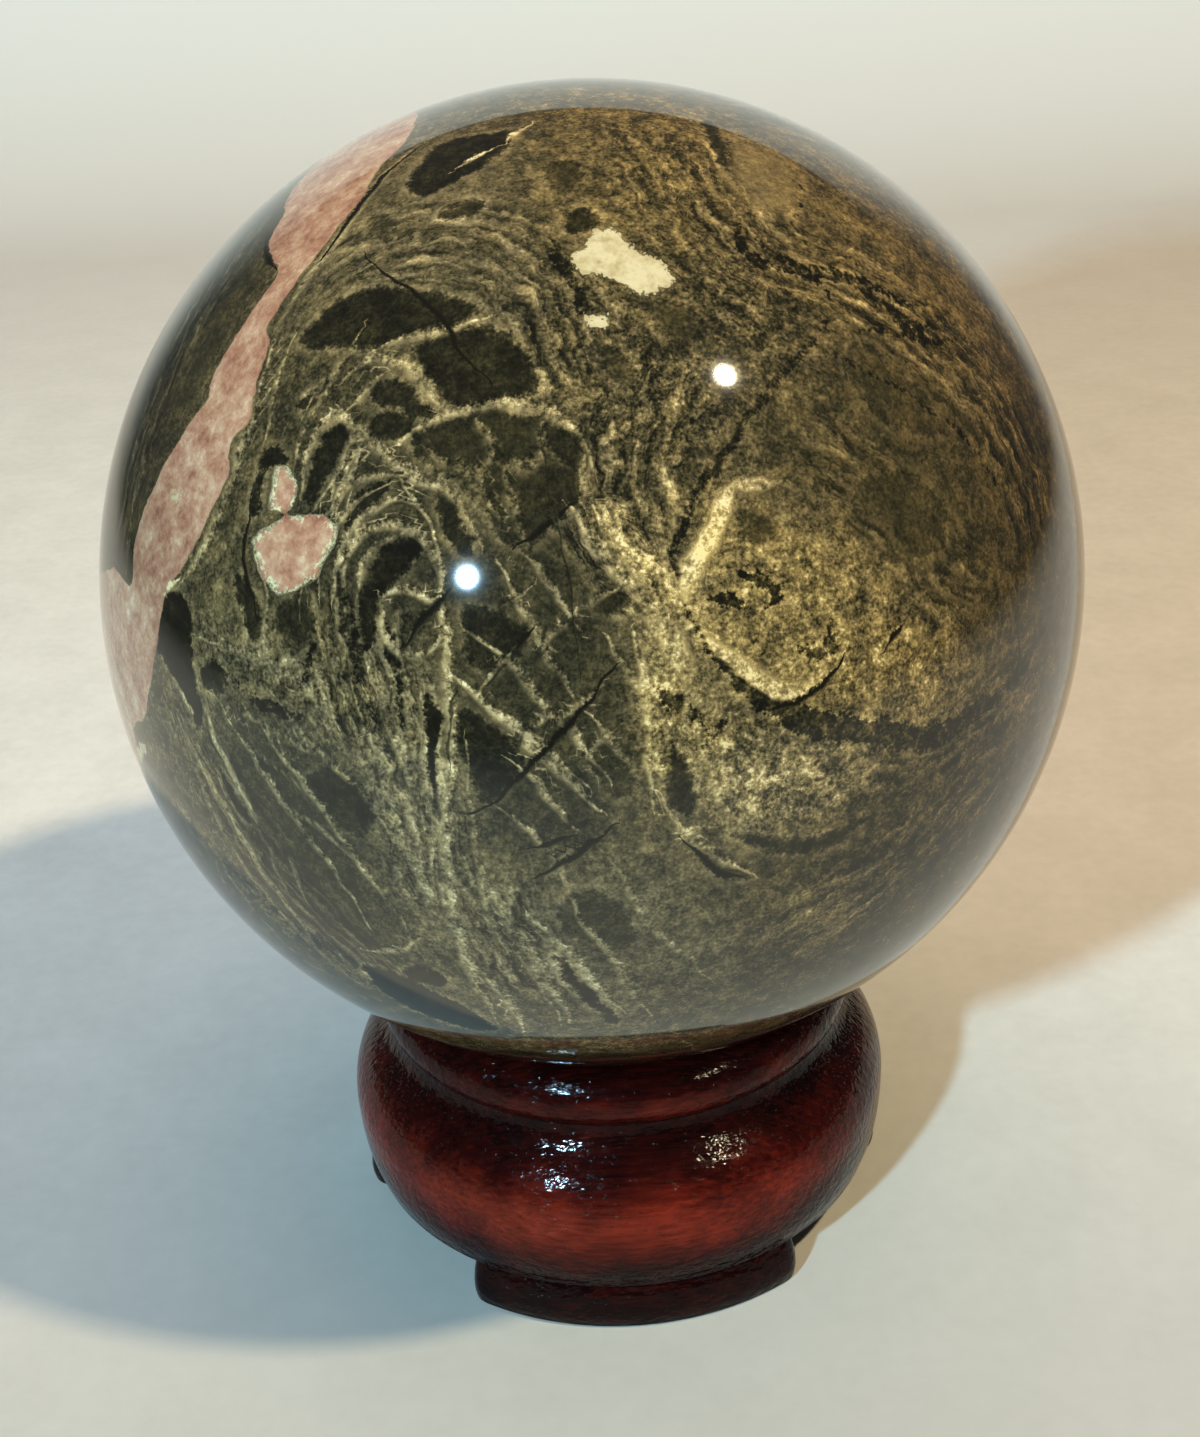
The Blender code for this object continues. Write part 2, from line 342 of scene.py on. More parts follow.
# Each soft region: tone, speckle, warmth, edge width in mm, outline
FIELDS = {
    "left of the vein": (0.3, 0.35, 0.4, 3.0, [
        (260, 150), (300, 187), (272, 248), (218, 366), (166, 456), (132, 583), (100, 620), (80, 500),
        (120, 300)]),
    "upper left swirl": (0.46, 0.5, 0.3, 4.0, [
        (420, 130), (560, 110), (560, 240), (540, 330), (420, 290), (330, 300), (290, 340), (300, 270),
        (370, 190)]),
    "top brown": (0.47, 0.7, 0.8, 5.0, [
        (520, 80), (720, 90), (730, 200), (760, 330), (680, 330), (560, 260), (530, 160)]),
    "beside the vein": (0.33, 0.6, 0.3, 4.0, [
        (300, 330), (400, 360), (450, 480), (420, 520), (330, 480), (260, 480), (240, 440)]),
    "swirl": (0.27, 0.5, 0.1, 2.5, [
        (296, 430), (400, 440), (450, 500), (455, 640), (360, 690), (330, 600), (270, 610), (240, 560),
        (290, 520)]),
    "upper middle": (0.36, 0.9, 0.5, 6.0, [
        (560, 280), (740, 260), (820, 330), (760, 440), (690, 500), (600, 480), (540, 400)]),
    "upper right": (0.45, 0.6, 0.7, 5.0, [
        (740, 100), (900, 170), (1010, 320), (960, 400), (840, 340), (760, 260)]),
    "right field": (0.36, 0.5, 0.6, 6.0, [
        (780, 380), (960, 350), (1040, 470), (1050, 620), (900, 640), (800, 560), (760, 460)]),
    "right limb": (0.3, 0.5, 0.7, 4.0, [
        (1000, 330), (1060, 460), (1082, 600), (1060, 700), (1010, 640), (1030, 560), (1010, 460)]),
    "tan lobe": (0.6, 1.0, 1.0, 4.0, [
        (690, 500), (740, 480), (860, 560), (960, 640), (950, 720), (860, 735), (780, 705), (700, 655),
        (676, 600)]),
    "second tan lobe": (0.62, 1.1, 0.6, 3.0, [
        (725, 714), (700, 750), (702, 790), (736, 826), (778, 836), (830, 828), (865, 810), (880, 777),
        (850, 755)]),
    "lower right": (0.32, 0.6, 0.6, 6.0, [
        (780, 860), (900, 780), (1040, 700), (1020, 800), (900, 940), (760, 1000), (720, 920)]),
    "low cloud": (0.5, 0.7, 0.7, 5.0, [(760, 890), (850, 875), (870, 905), (830, 940), (760, 945)]),
    "bright middle": (0.66, 1.1, 0.8, 3.0, [
        (590, 500), (680, 540), (700, 660), (720, 760), (650, 800), (620, 720), (640, 620), (600, 560)]),
    "central dark field": (0.28, 0.45, 0.1, 3.0, [
        (450, 560), (560, 500), (590, 540), (625, 610), (625, 700), (640, 800), (560, 860), (500, 850),
        (460, 780), (455, 660)]),
    "pale fan": (0.52, 0.7, 0.2, 4.0, [
        (350, 640), (400, 650), (440, 700), (455, 780), (470, 900), (450, 960), (400, 940), (380, 850),
        (360, 760)]),
    "left fold": (0.47, 0.8, 0.1, 3.0, [
        (200, 620), (260, 640), (330, 650), (345, 740), (300, 710), (250, 690), (205, 660)]),
    "lower left": (0.28, 0.35, 0.1, 4.0, [
        (215, 700), (300, 740), (370, 860), (400, 970), (320, 940), (250, 860)]),
    # The underside: painted shade and a painted reflection of the dark stand, where the ball sits in it
    "underside": (0.16, 0.3, 0.8, 1.5, [
        (430, 1044), (540, 1054), (640, 1056), (740, 1040), (820, 1010), (800, 1060), (600, 1110),
        (440, 1080)]),
    "bottom": (0.47, 0.6, 0.1, 5.0, [(440, 880), (700, 860), (760, 960), (680, 1050), (480, 1050)]),
}

# Each clast, a broken piece of darker stone: tone, edge width in mm, outline
CLASTS = {
    "lens": (0.12, 1.2, [
        (294, 350), (310, 325), (335, 305), (369, 291), (397, 286), (424, 289), (452, 298), (476, 305),
        (483, 313), (452, 325), (424, 332), (400, 339), (373, 353), (345, 352), (318, 356)]),
    "under the lens": (0.12, 0.9, [
        (404, 352), (445, 334), (486, 325), (507, 332), (524, 353), (536, 370), (535, 394), (500, 399),
        (459, 406), (445, 397), (431, 373)]),
    "heart": (0.2, 0.9, [
        (408, 444), (424, 428), (459, 418), (493, 411), (528, 415), (559, 425), (576, 449), (583, 473),
        (579, 494), (562, 518), (540, 538), (521, 546), (500, 532), (486, 508), (459, 484), (431, 463)]),
    "arc one": (0.17, 0.5, [
        (370, 393), (390, 380), (411, 387), (424, 397), (438, 415), (424, 418), (404, 404), (380, 402)]),
    "arc two": (0.16, 0.6, [(368, 420), (390, 408), (411, 415), (416, 428), (400, 440), (376, 436)]),
    "bead": (0.17, 0.5, [(294, 406), (310, 391), (320, 399), (304, 413)]),
    "finger one": (0.09, 0.4, [
        (307, 501), (304, 487), (312, 456), (324, 434), (338, 417), (349, 427), (337, 453), (324, 475),
        (318, 496)]),
    "finger two": (0.09, 0.4, [
        (342, 523), (354, 494), (370, 480), (392, 474), (391, 486), (374, 501), (360, 521), (347, 541)]),
    "finger three": (0.05, 0.5, [
        (362, 655), (361, 620), (361, 591), (372, 566), (388, 545), (405, 536), (419, 538), (424, 549),
        (413, 566), (397, 587), (382, 599), (376, 625), (370, 650)]),
    "blue cell": (0.13, 0.6, [
        (433, 498), (446, 494), (462, 518), (474, 543), (470, 556), (458, 550), (444, 528)]),
    "beside the small clast": (0.08, 0.4, [
        (262, 446), (280, 444), (292, 462), (266, 466), (258, 515), (250, 521), (256, 480)]),
    "top dark": (0.12, 0.8, [
        (400, 190), (428, 152), (452, 139), (493, 134), (514, 129), (504, 150), (480, 166), (459, 177),
        (424, 198)]),
    "top spot one": (0.28, 2.5, [(545, 160), (575, 160), (590, 185), (568, 190), (548, 188)]),
    "top spot two": (0.16, 1.2, [(568, 212), (584, 204), (600, 210), (592, 222), (572, 232)]),
    "top spot three": (0.28, 2.4, [(362, 224), (380, 216), (392, 226), (388, 242), (370, 243)]),
    "top streak": (0.26, 1.0, [(440, 210), (480, 194), (486, 204), (450, 218)]),
    "dark fold by the top": (0.14, 1.2, [
        (700, 118), (714, 126), (728, 150), (733, 166), (724, 168), (712, 150)]),
    "tan lobe by the top": (0.6, 3.0, [
        (731, 137), (766, 148), (795, 168), (802, 188), (797, 208), (780, 215), (760, 212), (745, 200),
        (732, 178)]),
    "below the cream": (0.26, 3.0, [(649, 298), (683, 298), (704, 322), (700, 346), (672, 346), (652, 329)]),
    "below the cream two": (0.28, 3.0, [(600, 340), (626, 352), (640, 385), (622, 392), (604, 368)]),
    "right field shade": (0.3, 5.0, [(840, 350), (880, 350), (930, 400), (960, 440), (920, 440), (860, 400)]),
    "right field shade two": (0.3, 5.0, [(860, 470), (920, 470), (960, 540), (900, 560), (850, 520)]),
    "right field shade three": (0.28, 3.0, [(742, 500), (770, 496), (786, 520), (768, 540), (744, 530)]),
    "lower cell": (0.3, 2.6, [
        (560, 905), (590, 888), (622, 905), (640, 930), (628, 946), (590, 950), (568, 930)]),
    "dark comma": (0.18, 1.2, [
        (664, 756), (680, 758), (692, 781), (697, 802), (690, 816), (678, 812), (668, 788)]),
    "dark eye": (0.2, 1.4, [
        (726, 828), (765, 838), (810, 842), (850, 828), (868, 812), (852, 842), (808, 854), (756, 850)]),
    # The crevice's dark folds: painted shade in the small open hollow at the left rim
    "painted crevice shade": (0.08, 0.4, [
        (163, 595), (180, 602), (194, 623), (190, 654), (197, 685), (204, 733), (198, 736), (187, 698),
        (173, 678), (159, 650), (156, 633)]),
    "left dark": (0.12, 0.8, [(236, 560), (252, 580), (262, 610), (262, 638), (250, 636), (240, 600)]),
    "left dark two": (0.2, 1.8, [(272, 605), (307, 594), (315, 640), (296, 652), (280, 640)]),
    "left dark three": (0.14, 0.8, [(197, 660), (222, 662), (226, 682), (205, 690)]),
    "wedge": (0.16, 2.2, [
        (300, 781), (330, 768), (342, 767), (366, 795), (376, 826), (362, 843), (349, 833), (321, 809)]),
    "slim lens": (0.08, 0.4, [(218, 764), (230, 784), (252, 826), (242, 816), (228, 795)]),
    "upright lens": (0.06, 0.4, [
        (424, 690), (436, 704), (440, 719), (438, 740), (438, 795), (431, 790), (428, 738)]),
    "cell one": (0.16, 1.2, [
        (462, 616), (474, 606), (500, 620), (530, 634), (522, 654), (500, 668), (486, 680), (466, 655)]),
    "cell two": (0.14, 1.0, [
        (454, 706), (470, 712), (500, 735), (530, 760), (512, 783), (488, 806), (473, 781), (458, 745)]),
    "cell three": (0.16, 1.2, [(600, 592), (622, 590), (632, 604), (614, 622), (598, 612)]),
    "cell four": (0.3, 1.5, [(575, 745), (600, 740), (640, 790), (625, 800), (600, 785)]),
    "bottom lens": (0.09, 0.6, [
        (362, 967), (390, 972), (424, 990), (465, 1008), (500, 1029), (476, 1029), (459, 1026), (407, 1007),
        (376, 986)]),
    "bottom lens two": (0.2, 0.7, [(400, 965), (430, 966), (452, 980), (438, 988), (411, 982)]),
    "ray lens": (0.15, 0.6, [(548, 950), (570, 965), (590, 988), (620, 1024), (606, 1022), (575, 990)]),
    "right of the comma": (0.25, 2.0, [(715, 850), (745, 862), (750, 876), (722, 874), (700, 858)]),
}

# Lines and spots laid over the clasts: tone, width in mm, points along it
STROKES = {
    "band beside the vein": (0.76, 1.2, [
        (445, 129), (407, 156), (383, 177), (355, 215), (335, 246), (314, 273), (293, 301), (276, 329)]),
    "arc shadow": (0.2, 2.3, [
        (680, 606), (704, 648), (740, 684), (790, 710), (850, 734), (905, 740), (960, 724), (1008, 690),
        (1044, 636)]),
    "arc shadow two": (0.1, 0.8, [(676, 600), (700, 640), (730, 668), (764, 690), (800, 706)]),
    "wavy dark one": (0.06, 1.0, [(735, 213), (741, 246), (763, 263), (791, 274), (819, 285), (830, 302)]),
    "wavy dark two": (0.08, 0.8, [
        (746, 219), (769, 252), (802, 269), (830, 272), (858, 280), (891, 294), (924, 308)]),
    "wavy dark three": (0.1, 0.7, [(797, 267), (842, 280), (880, 303), (917, 318), (935, 326)]),
    "wavy dark four": (0.1, 0.6, [(847, 341), (891, 333), (935, 333), (958, 344), (977, 355)]),
    "wavy dark five": (0.1, 0.5, [
        (824, 352), (863, 369), (897, 388), (935, 413), (963, 435), (991, 474), (1019, 508)]),
    "wavy dark six": (0.08, 0.9, [(880, 310), (905, 322), (930, 322)]),
    "wiggle": (0.12, 0.4, [(791, 180), (805, 191), (799, 213), (785, 224), (797, 241)]),
    "dark left of the cream": (0.1, 0.8, [(556, 228), (559, 258), (574, 280), (583, 300), (579, 322)]),
    "purple line": (0.16, 0.7, [
        (833, 302), (824, 335), (797, 358), (774, 391), (747, 424), (724, 458), (699, 480), (690, 510),
        (676, 539), (670, 577)]),
    "tan streak": (0.95, 1.9, [
        (745, 473), (728, 480), (722, 500), (712, 530), (696, 560), (686, 590), (688, 615)]),
    "tan streak two": (0.82, 1.3, [(728, 480), (760, 478), (783, 477)]),
    "tan crescent": (0.86, 2.0, [(695, 622), (712, 650), (740, 672), (775, 688), (812, 684), (838, 664)]),
    "middle tan": (0.84, 2.0, [(645, 626), (668, 640), (682, 665), (688, 690)]),
    "tan loop": (0.68, 0.8, [(712, 560), (740, 545), (775, 555), (800, 580), (790, 610), (760, 620)]),
    "tan loop two": (0.66, 0.7, [(770, 520), (800, 530), (830, 560), (850, 600), (845, 640)]),
    "tan loop three": (0.62, 0.7, [(860, 560), (900, 575), (940, 610), (960, 650), (940, 690)]),
    "dark lane one": (0.18, 1.3, [(740, 570), (765, 580), (775, 600), (760, 608)]),
    "dark lane two": (0.16, 1.2, [(710, 600), (728, 600), (744, 606)]),
    "dark lane three": (0.2, 1.2, [(790, 640), (820, 650), (835, 640), (830, 615)]),
    "dark lane four": (0.2, 0.6, [(694, 755), (716, 735), (730, 712)]),
    "dark lane five": (0.2, 1.1, [(650, 690), (668, 700), (690, 712), (700, 730)]),
    "cream stripe one": (0.74, 0.9, [
        (154, 674), (169, 705), (187, 740), (207, 778), (228, 812), (249, 850), (273, 888), (293, 912),
        (328, 964)]),
    "cream stripe two": (0.92, 0.7, [(203, 690), (211, 726), (225, 760), (238, 781), (252, 812), (258, 828)]),
    "cream stripe three": (1.0, 0.6, [(183, 691), (187, 702), (194, 716)]),
    "cream stripe four": (0.7, 0.45, [(249, 781), (287, 805), (321, 829), (349, 853), (373, 871)]),
    "cream stripe five": (0.7, 0.4, [(287, 843), (293, 871), (304, 898), (318, 915)]),
    "cream stripe six": (0.66, 0.4, [(258, 828), (266, 843), (280, 877), (293, 905)]),
    "cream stripe seven": (0.62, 0.4, [(207, 705), (235, 733), (269, 760), (300, 788), (321, 812)]),
    "limb stripe one": (0.6, 0.7, [(176, 720), (205, 800), (245, 870), (290, 925), (345, 975), (400, 1010)]),
    "limb stripe two": (0.58, 0.6, [(160, 740), (190, 810), (230, 880), (280, 940), (340, 990), (410, 1022)]),
    "left dark streak": (0.09, 0.9, [(228, 675), (252, 696), (273, 712), (300, 721), (311, 720)]),
    "left dark streak two": (0.12, 0.6, [(300, 700), (312, 660), (316, 630)]),
    "fan dark one": (0.14, 0.6, [(340, 545), (336, 580), (342, 620), (352, 660), (366, 710)]),
    "fan dark two": (0.16, 0.5, [(352, 600), (356, 650), (370, 700), (380, 740)]),
    "fan dark three": (0.14, 0.5, [(392, 640), (398, 690), (406, 740)]),
    "fan dark four": (0.15, 0.5, [(376, 610), (385, 640), (390, 680)]),
}

# Thin dark cracks: width in mm, points
CRACKS = {
    "beside the vein": (0.5, [(418, 150), (390, 170), (372, 192), (352, 217), (338, 239), (322, 262)]),
    "across the lens": (0.3, [
        (362, 256), (383, 267), (407, 284), (428, 304), (445, 325), (470, 360), (492, 385)]),
    "heart edge": (0.4, [(520, 543), (541, 532), (562, 515), (572, 504)]),
    "vein crack": (0.22, [(228, 366), (245, 363), (259, 360)]),
    "hook by the glint": (0.6, [(451, 591), (442, 607), (430, 616), (417, 632), (409, 645)]),
    "long crack": (0.4, [(613, 672), (584, 707), (547, 749), (513, 787), (484, 810), (469, 815)]),
    "short crack one": (0.4, [(572, 837), (550, 846), (530, 851)]),
    "short crack two": (0.5, [(613, 828), (588, 849), (562, 868), (538, 881)]),
    "tan crack": (0.5, [(844, 656), (825, 679), (794, 698), (773, 705)]),
    "tan crack two": (0.3, [(904, 623), (894, 640), (886, 650)]),
    "right crack": (0.3, [(1021, 633), (1014, 685)]),
    "under the eye": (0.45, [(683, 840), (697, 857), (718, 871), (745, 874)]),
    "upright crack": (0.2, [(451, 715), (449, 745), (450, 770)]),
    "tick one": (0.3, [(532, 632), (522, 645), (513, 653)]),
    "tick two": (0.25, [(501, 670), (492, 680), (484, 687)]),
    "tick three": (0.25, [(455, 690), (448, 700), (450, 730)]),
    "left limb crack": (0.4, [(270, 235), (268, 250), (274, 270)]),
    "heart line": (0.12, [(540, 425), (545, 470), (555, 520), (572, 574), (576, 637), (580, 687)]),
    "clast crack": (0.3, [(252, 501), (249, 525), (242, 540), (249, 574), (256, 609)]),
}

# Thin pale seams: width in mm, tone, points
SEAMS = {
    "under the lens": (0.58, 0.73, [(369, 356), (390, 346), (417, 335), (445, 332), (469, 323), (493, 318)]),
    "over the heart": (0.72, 0.75, [
        (400, 442), (417, 428), (445, 411), (476, 408), (510, 403), (545, 408), (562, 418), (586, 449),
        (593, 473)]),
    "arc seam": (0.79, 0.69, [(344, 380), (366, 366), (389, 361), (411, 371), (433, 391), (447, 413)]),
    "arc seam two": (0.58, 0.65, [(352, 404), (366, 392), (380, 378)]),
    "net left": (0.72, 0.69, [
        (342, 404), (366, 435), (400, 463), (424, 480), (448, 490), (469, 518), (483, 542)]),
    "finger loop": (0.58, 0.67, [
        (300, 497), (302, 460), (318, 428), (338, 408), (356, 430), (340, 462), (326, 490), (314, 506)]),
    "finger loop two": (0.5, 0.63, [(356, 430), (362, 448), (352, 470), (338, 490), (330, 512)]),
    "ring one": (0.65, 0.67, [
        (342, 595), (347, 566), (358, 545), (367, 532), (392, 520), (422, 532), (434, 562), (439, 587)]),
    "ring two": (0.58, 0.65, [
        (332, 607), (338, 566), (347, 538), (358, 518), (380, 503), (401, 495), (420, 507)]),
    "ring three": (0.5, 0.63, [(334, 510), (345, 488), (358, 476), (380, 468), (400, 472)]),
    "hook rim": (0.65, 0.73, [(384, 603), (401, 595), (417, 599), (430, 607), (442, 599)]),
    "hook rim two": (0.58, 0.67, [(382, 607), (380, 630), (384, 645), (401, 662), (430, 657), (440, 640)]),
    "upright seam": (0.72, 0.71, [
        (405, 478), (420, 507), (434, 524), (440, 553), (442, 595), (445, 645), (447, 703), (453, 737),
        (449, 770), (442, 833), (445, 867), (452, 902), (462, 946), (476, 981), (493, 1012)]),
    "foot line two": (0.84, 0.79, [(528, 912), (552, 935), (569, 953), (595, 985), (620, 1012)]),
    "foot line three": (0.79, 0.75, [(520, 930), (545, 974), (569, 1020)]),
    "foot line four": (0.72, 0.75, [(366, 950), (397, 950), (417, 939)]),
    "foot line five": (0.72, 0.73, [(470, 960), (500, 990), (525, 1030)]),
    "eye seam": (0.65, 0.77, [(664, 800), (683, 836), (711, 857), (752, 871)]),
    "eye seam two": (0.5, 0.73, [(683, 836), (700, 828), (715, 824)]),
    "column seam": (0.58, 0.73, [(632, 640), (640, 680), (652, 720), (648, 770), (655, 810)]),
    "column seam two": (0.5, 0.69, [(680, 643), (694, 688), (680, 730), (664, 750)]),
    "lobe seam": (0.58, 0.73, [(694, 745), (712, 770), (720, 800), (745, 822)]),
    # The crevice's pale edge: a painted highlight
    "painted crevice highlight": (0.5, 0.97, [(163, 599), (171, 592), (180, 586)]),
    "top cream one": (0.58, 0.97, [(455, 168), (476, 156), (493, 148)]),
    "top cream two": (0.58, 0.97, [(507, 139), (518, 130), (528, 124)]),
    "vein line": (0.31, 0.97, [(293, 217), (310, 221), (328, 222)]),
    "left fold rim": (0.5, 0.65, [(200, 640), (222, 645), (262, 660), (300, 662), (325, 680), (338, 730)]),
    "left fold rim two": (0.43, 0.62, [(262, 566), (268, 600), (262, 650), (280, 690), (310, 700)]),
    "vein side": (0.72, 0.69, [
        (271, 345), (258, 380), (252, 420), (238, 450), (232, 480), (215, 520), (196, 560), (180, 590)]),
    "vein side two": (0.5, 0.63, [(290, 340), (275, 380), (268, 420), (262, 440)]),
}

# Stretches of folded banding: strength, half width in mm, points along the bands
BANDING = {
    "upper left flow": (0.47, 7.0, [(300, 300), (370, 250), (450, 230), (530, 260), (570, 330), (590, 420)]),
    "left limb flow": (0.47, 5.0, [(255, 220), (180, 340), (135, 460), (115, 580)]),
    "top flow": (0.41, 6.0, [(640, 110), (650, 170), (690, 230), (760, 300), (800, 330)]),
    "upper right flow": (0.54, 7.0, [
        (690, 130), (740, 230), (800, 275), (880, 300), (960, 360), (1020, 450), (1045, 560)]),
    "lower left flow": (0.47, 6.0, [(165, 660), (205, 760), (260, 850), (330, 930), (420, 1000)]),
    "fan flow": (0.55, 6.0, [(360, 600), (375, 660), (400, 740), (425, 830), (450, 920)]),
    "fan flow two": (0.61, 3.5, [(320, 560), (325, 620), (345, 700), (370, 780)]),
    "middle flow": (0.68, 4.5, [(570, 470), (600, 530), (640, 590), (668, 630)]),
    "upper middle flow": (0.54, 6.0, [(700, 330), (660, 390), (630, 450), (640, 520), (670, 570)]),
    "right flow": (0.41, 6.0, [(780, 430), (860, 480), (940, 560), (990, 620)]),
    "lobe flow": (0.34, 6.0, [(700, 690), (780, 735), (880, 765), (980, 730), (1050, 640)]),
    "lower right flow": (0.41, 7.0, [(740, 960), (840, 910), (940, 830), (1020, 730)]),
    "foot flow": (0.47, 6.0, [(470, 860), (500, 930), (560, 1010)]),
}

# The pink vein, the pink clasts with pale rims, and the cream clasts: outlines
PINK_VEIN = [
    (424, 100), (414, 117), (411, 139), (383, 163), (376, 177), (355, 208), (335, 232), (321, 253),
    (300, 280), (280, 304), (269, 322), (268, 346), (259, 363), (254, 380), (252, 404), (249, 425),
    (232, 442), (228, 473), (221, 494), (207, 518), (194, 549), (176, 585), (162, 600), (157, 630),
    (154, 671), (145, 705), (139, 733), (124, 740), (98, 680), (93, 620), (100, 560), (120, 580), (132, 583),
    (133, 549), (142, 518), (152, 490), (163, 459), (176, 442), (197, 415), (211, 397), (214, 377),
    (225, 356), (235, 335), (249, 315), (262, 294), (275, 280), (276, 267), (271, 236), (283, 218),
    (287, 198), (305, 175), (321, 160), (370, 118)]
PINK_CLASTS = {
    "pink clast": [
        (252, 537), (273, 523), (300, 515), (321, 515), (336, 526), (335, 549), (324, 570), (318, 585),
        (294, 597), (273, 592), (262, 572)],
    "small clast": [(276, 466), (290, 461), (295, 480), (295, 501), (287, 511), (268, 511), (271, 488)],
}
CREAM_CLASTS = {
    "cream clast": [
        (569, 253), (582, 243), (586, 234), (596, 226), (612, 223), (625, 232), (630, 242), (645, 250),
        (666, 258), (678, 267), (671, 279), (659, 288), (644, 292), (632, 284), (618, 274), (600, 270),
        (580, 270)],
    "small cream clast": [(583, 320), (592, 315), (608, 314), (611, 326), (600, 329), (587, 327)],
    "vein speck": [(170, 492), (176, 489), (184, 492), (180, 497), (174, 500)],
    "limb speck": [(136, 748), (146, 747), (149, 757), (140, 760)],
}

# How the vein goes on past its ends: two points on its way, then degrees past the second, half widths in mm
VEIN_ENDS = {
    "over the top": ([(300, 250), (380, 112)], (-2, 8, 25, 40, 55), (3.2, 4.6, 4.0, 4.5, 0.4)),
    "down the side": ([(190, 480), (122, 640)], (-2, 8, 20, 34, 46), (2.8, 4.4, 3.6, 2.4, 0.3)),
}

# Pale lines in the central dark field and borders of the heart's cells: width in mm, tone, points
NET = {
    "edge": (0.72, 0.76, [(570, 510), (600, 550), (630, 590), (660, 620)]),
    "beside the edge": (0.6, 0.75, [(590, 505), (620, 545), (650, 590), (672, 618)]),
    "first": (0.54, 0.63, [(520, 545), (540, 570), (560, 600), (582, 636)]),
    "second": (0.54, 0.63, [(500, 560), (520, 606), (540, 648), (560, 680), (582, 708)]),
    "third": (0.6, 0.65, [(466, 636), (508, 662), (534, 698), (560, 722), (585, 755), (612, 788)]),
    "fourth": (0.78, 0.76, [(448, 674), (485, 705), (517, 732), (540, 757), (570, 787), (602, 812)]),
    "fifth": (0.54, 0.67, [(470, 692), (506, 718), (536, 744), (562, 770), (586, 790)]),
    "sixth": (0.48, 0.63, [(588, 714), (606, 742), (622, 762), (642, 777)]),
    "seventh": (0.48, 0.63, [(512, 762), (542, 790), (566, 822), (584, 836)]),
    "eighth": (0.48, 0.6, [(498, 806), (530, 832), (556, 866), (574, 900)]),
    "ninth": (0.42, 0.6, [(604, 640), (622, 672), (640, 700)]),
    "cross one": (0.42, 0.57, [(478, 690), (492, 674), (508, 656)]),
    "cross two": (0.42, 0.57, [(538, 652), (556, 640), (574, 626)]),
    "cross three": (0.42, 0.57, [(558, 722), (578, 706), (600, 690)]),
    "cross four": (0.36, 0.55, [(520, 740), (538, 726), (558, 712)]),
    "cross five": (0.48, 0.6, [(572, 618), (598, 604), (622, 590)]),
    "cross six": (0.36, 0.55, [(498, 612), (516, 602), (532, 590)]),
    "cross seven": (0.36, 0.55, [(584, 760), (602, 744), (618, 732)]),
    "cell border one": (0.9, 0.5, [(474, 414), (485, 437), (490, 464), (479, 492)]),
    "cell border two": (0.9, 0.5, [(490, 464), (527, 474), (548, 458), (566, 470)]),
    "cell border three": (0.9, 0.47, [(506, 476), (511, 508), (529, 540)]),
    "cell border four": (0.9, 0.47, [(452, 480), (474, 480), (492, 466)]),
    "cell border five": (0.9, 0.47, [(427, 450), (453, 469), (480, 490), (500, 520)]),
    "cell border six": (0.84, 0.45, [(544, 414), (538, 436), (548, 458)]),
    "fan line one": (0.42, 0.65, [(372, 660), (384, 710), (402, 760), (420, 800), (428, 850)]),
    "fan line two": (0.42, 0.63, [(398, 650), (408, 700), (414, 760), (432, 810)]),
    "fan line three": (0.42, 0.63, [(352, 680), (362, 730), (386, 790), (404, 850), (428, 900)]),
    "fan line four": (0.42, 0.61, [(466, 740), (470, 790), (474, 850), (488, 910), (512, 970)]),
    "fold line one": (0.42, 0.6, [(208, 628), (240, 650), (286, 676), (318, 706), (336, 750)]),
    "fold line two": (0.42, 0.57, [(224, 700), (262, 724), (300, 752), (330, 760)]),
    "left ray one": (0.54, 0.66, [(214, 690), (244, 740), (282, 800), (330, 862), (372, 930)]),
    "left ray two": (0.48, 0.62, [(240, 700), (286, 762), (340, 836), (392, 906), (430, 968)]),
    "left ray three": (0.48, 0.6, [(268, 690), (306, 742), (330, 768), (366, 800), (396, 850)]),
    "foot ray one": (0.6, 0.68, [(436, 862), (450, 920), (470, 976), (500, 1026)]),
    "foot ray two": (0.54, 0.66, [(476, 862), (500, 910), (532, 962), (560, 1022)]),
    "foot ray three": (0.54, 0.66, [(560, 880), (590, 930), (622, 976), (652, 1020)]),
    "foot ray four": (0.48, 0.62, [(600, 850), (630, 896), (668, 944), (712, 980)]),
    "outer ring one": (0.48, 0.64, [(318, 600), (322, 560), (336, 520), (360, 492), (392, 480)]),
    "outer ring two": (0.48, 0.62, [(300, 610), (306, 560), (318, 524), (340, 496)]),
    "inner ring": (0.42, 0.58, [(356, 610), (358, 580), (370, 556), (388, 538), (408, 528)]),
    "swirl line one": (0.42, 0.57, [(362, 330), (340, 366), (322, 384), (300, 396), (286, 420)]),
    "swirl line two": (0.42, 0.57, [(352, 356), (330, 378), (318, 402), (300, 432), (294, 468)]),
}


# What a point of the ball holds in each painted layer while nothing is laid there; FAR is in mm
FAR = 30.0
LAYERS = {
    "ground": (0.42, 0.6, 0.4),  # tone, speckle, warmth
    "bands": (FAR, 0.0, 0.0),    # across and along in mm, strength
    "clasts": (FAR, 0.2, 1.0),   # distance in mm, tone, edge width in mm
    "strokes": (FAR, 0.2, 0.4),  # distance in mm, tone, raggedness
    "cracks": (FAR, FAR, 0.0),   # across in half widths, distance in mm, depth
    "seams": (FAR, FAR, 0.0),    # across in half widths, distance in mm, tone
    "net": (FAR, FAR, 0.0),      # as for the seams
    "pink": (FAR, FAR, FAR),     # distances in mm to the vein, the pink clasts and the cream clasts
}

# The direction that turns each outline's map, away from every outline's middle
MAP_TURN = (0.1, 0.2, 0.97)

# A line is measured this far past its reach, in mm, but no further round the ball than this, in radians
PAST_OUTLINE = 14.0
WIDEST_PLAN = 2.6

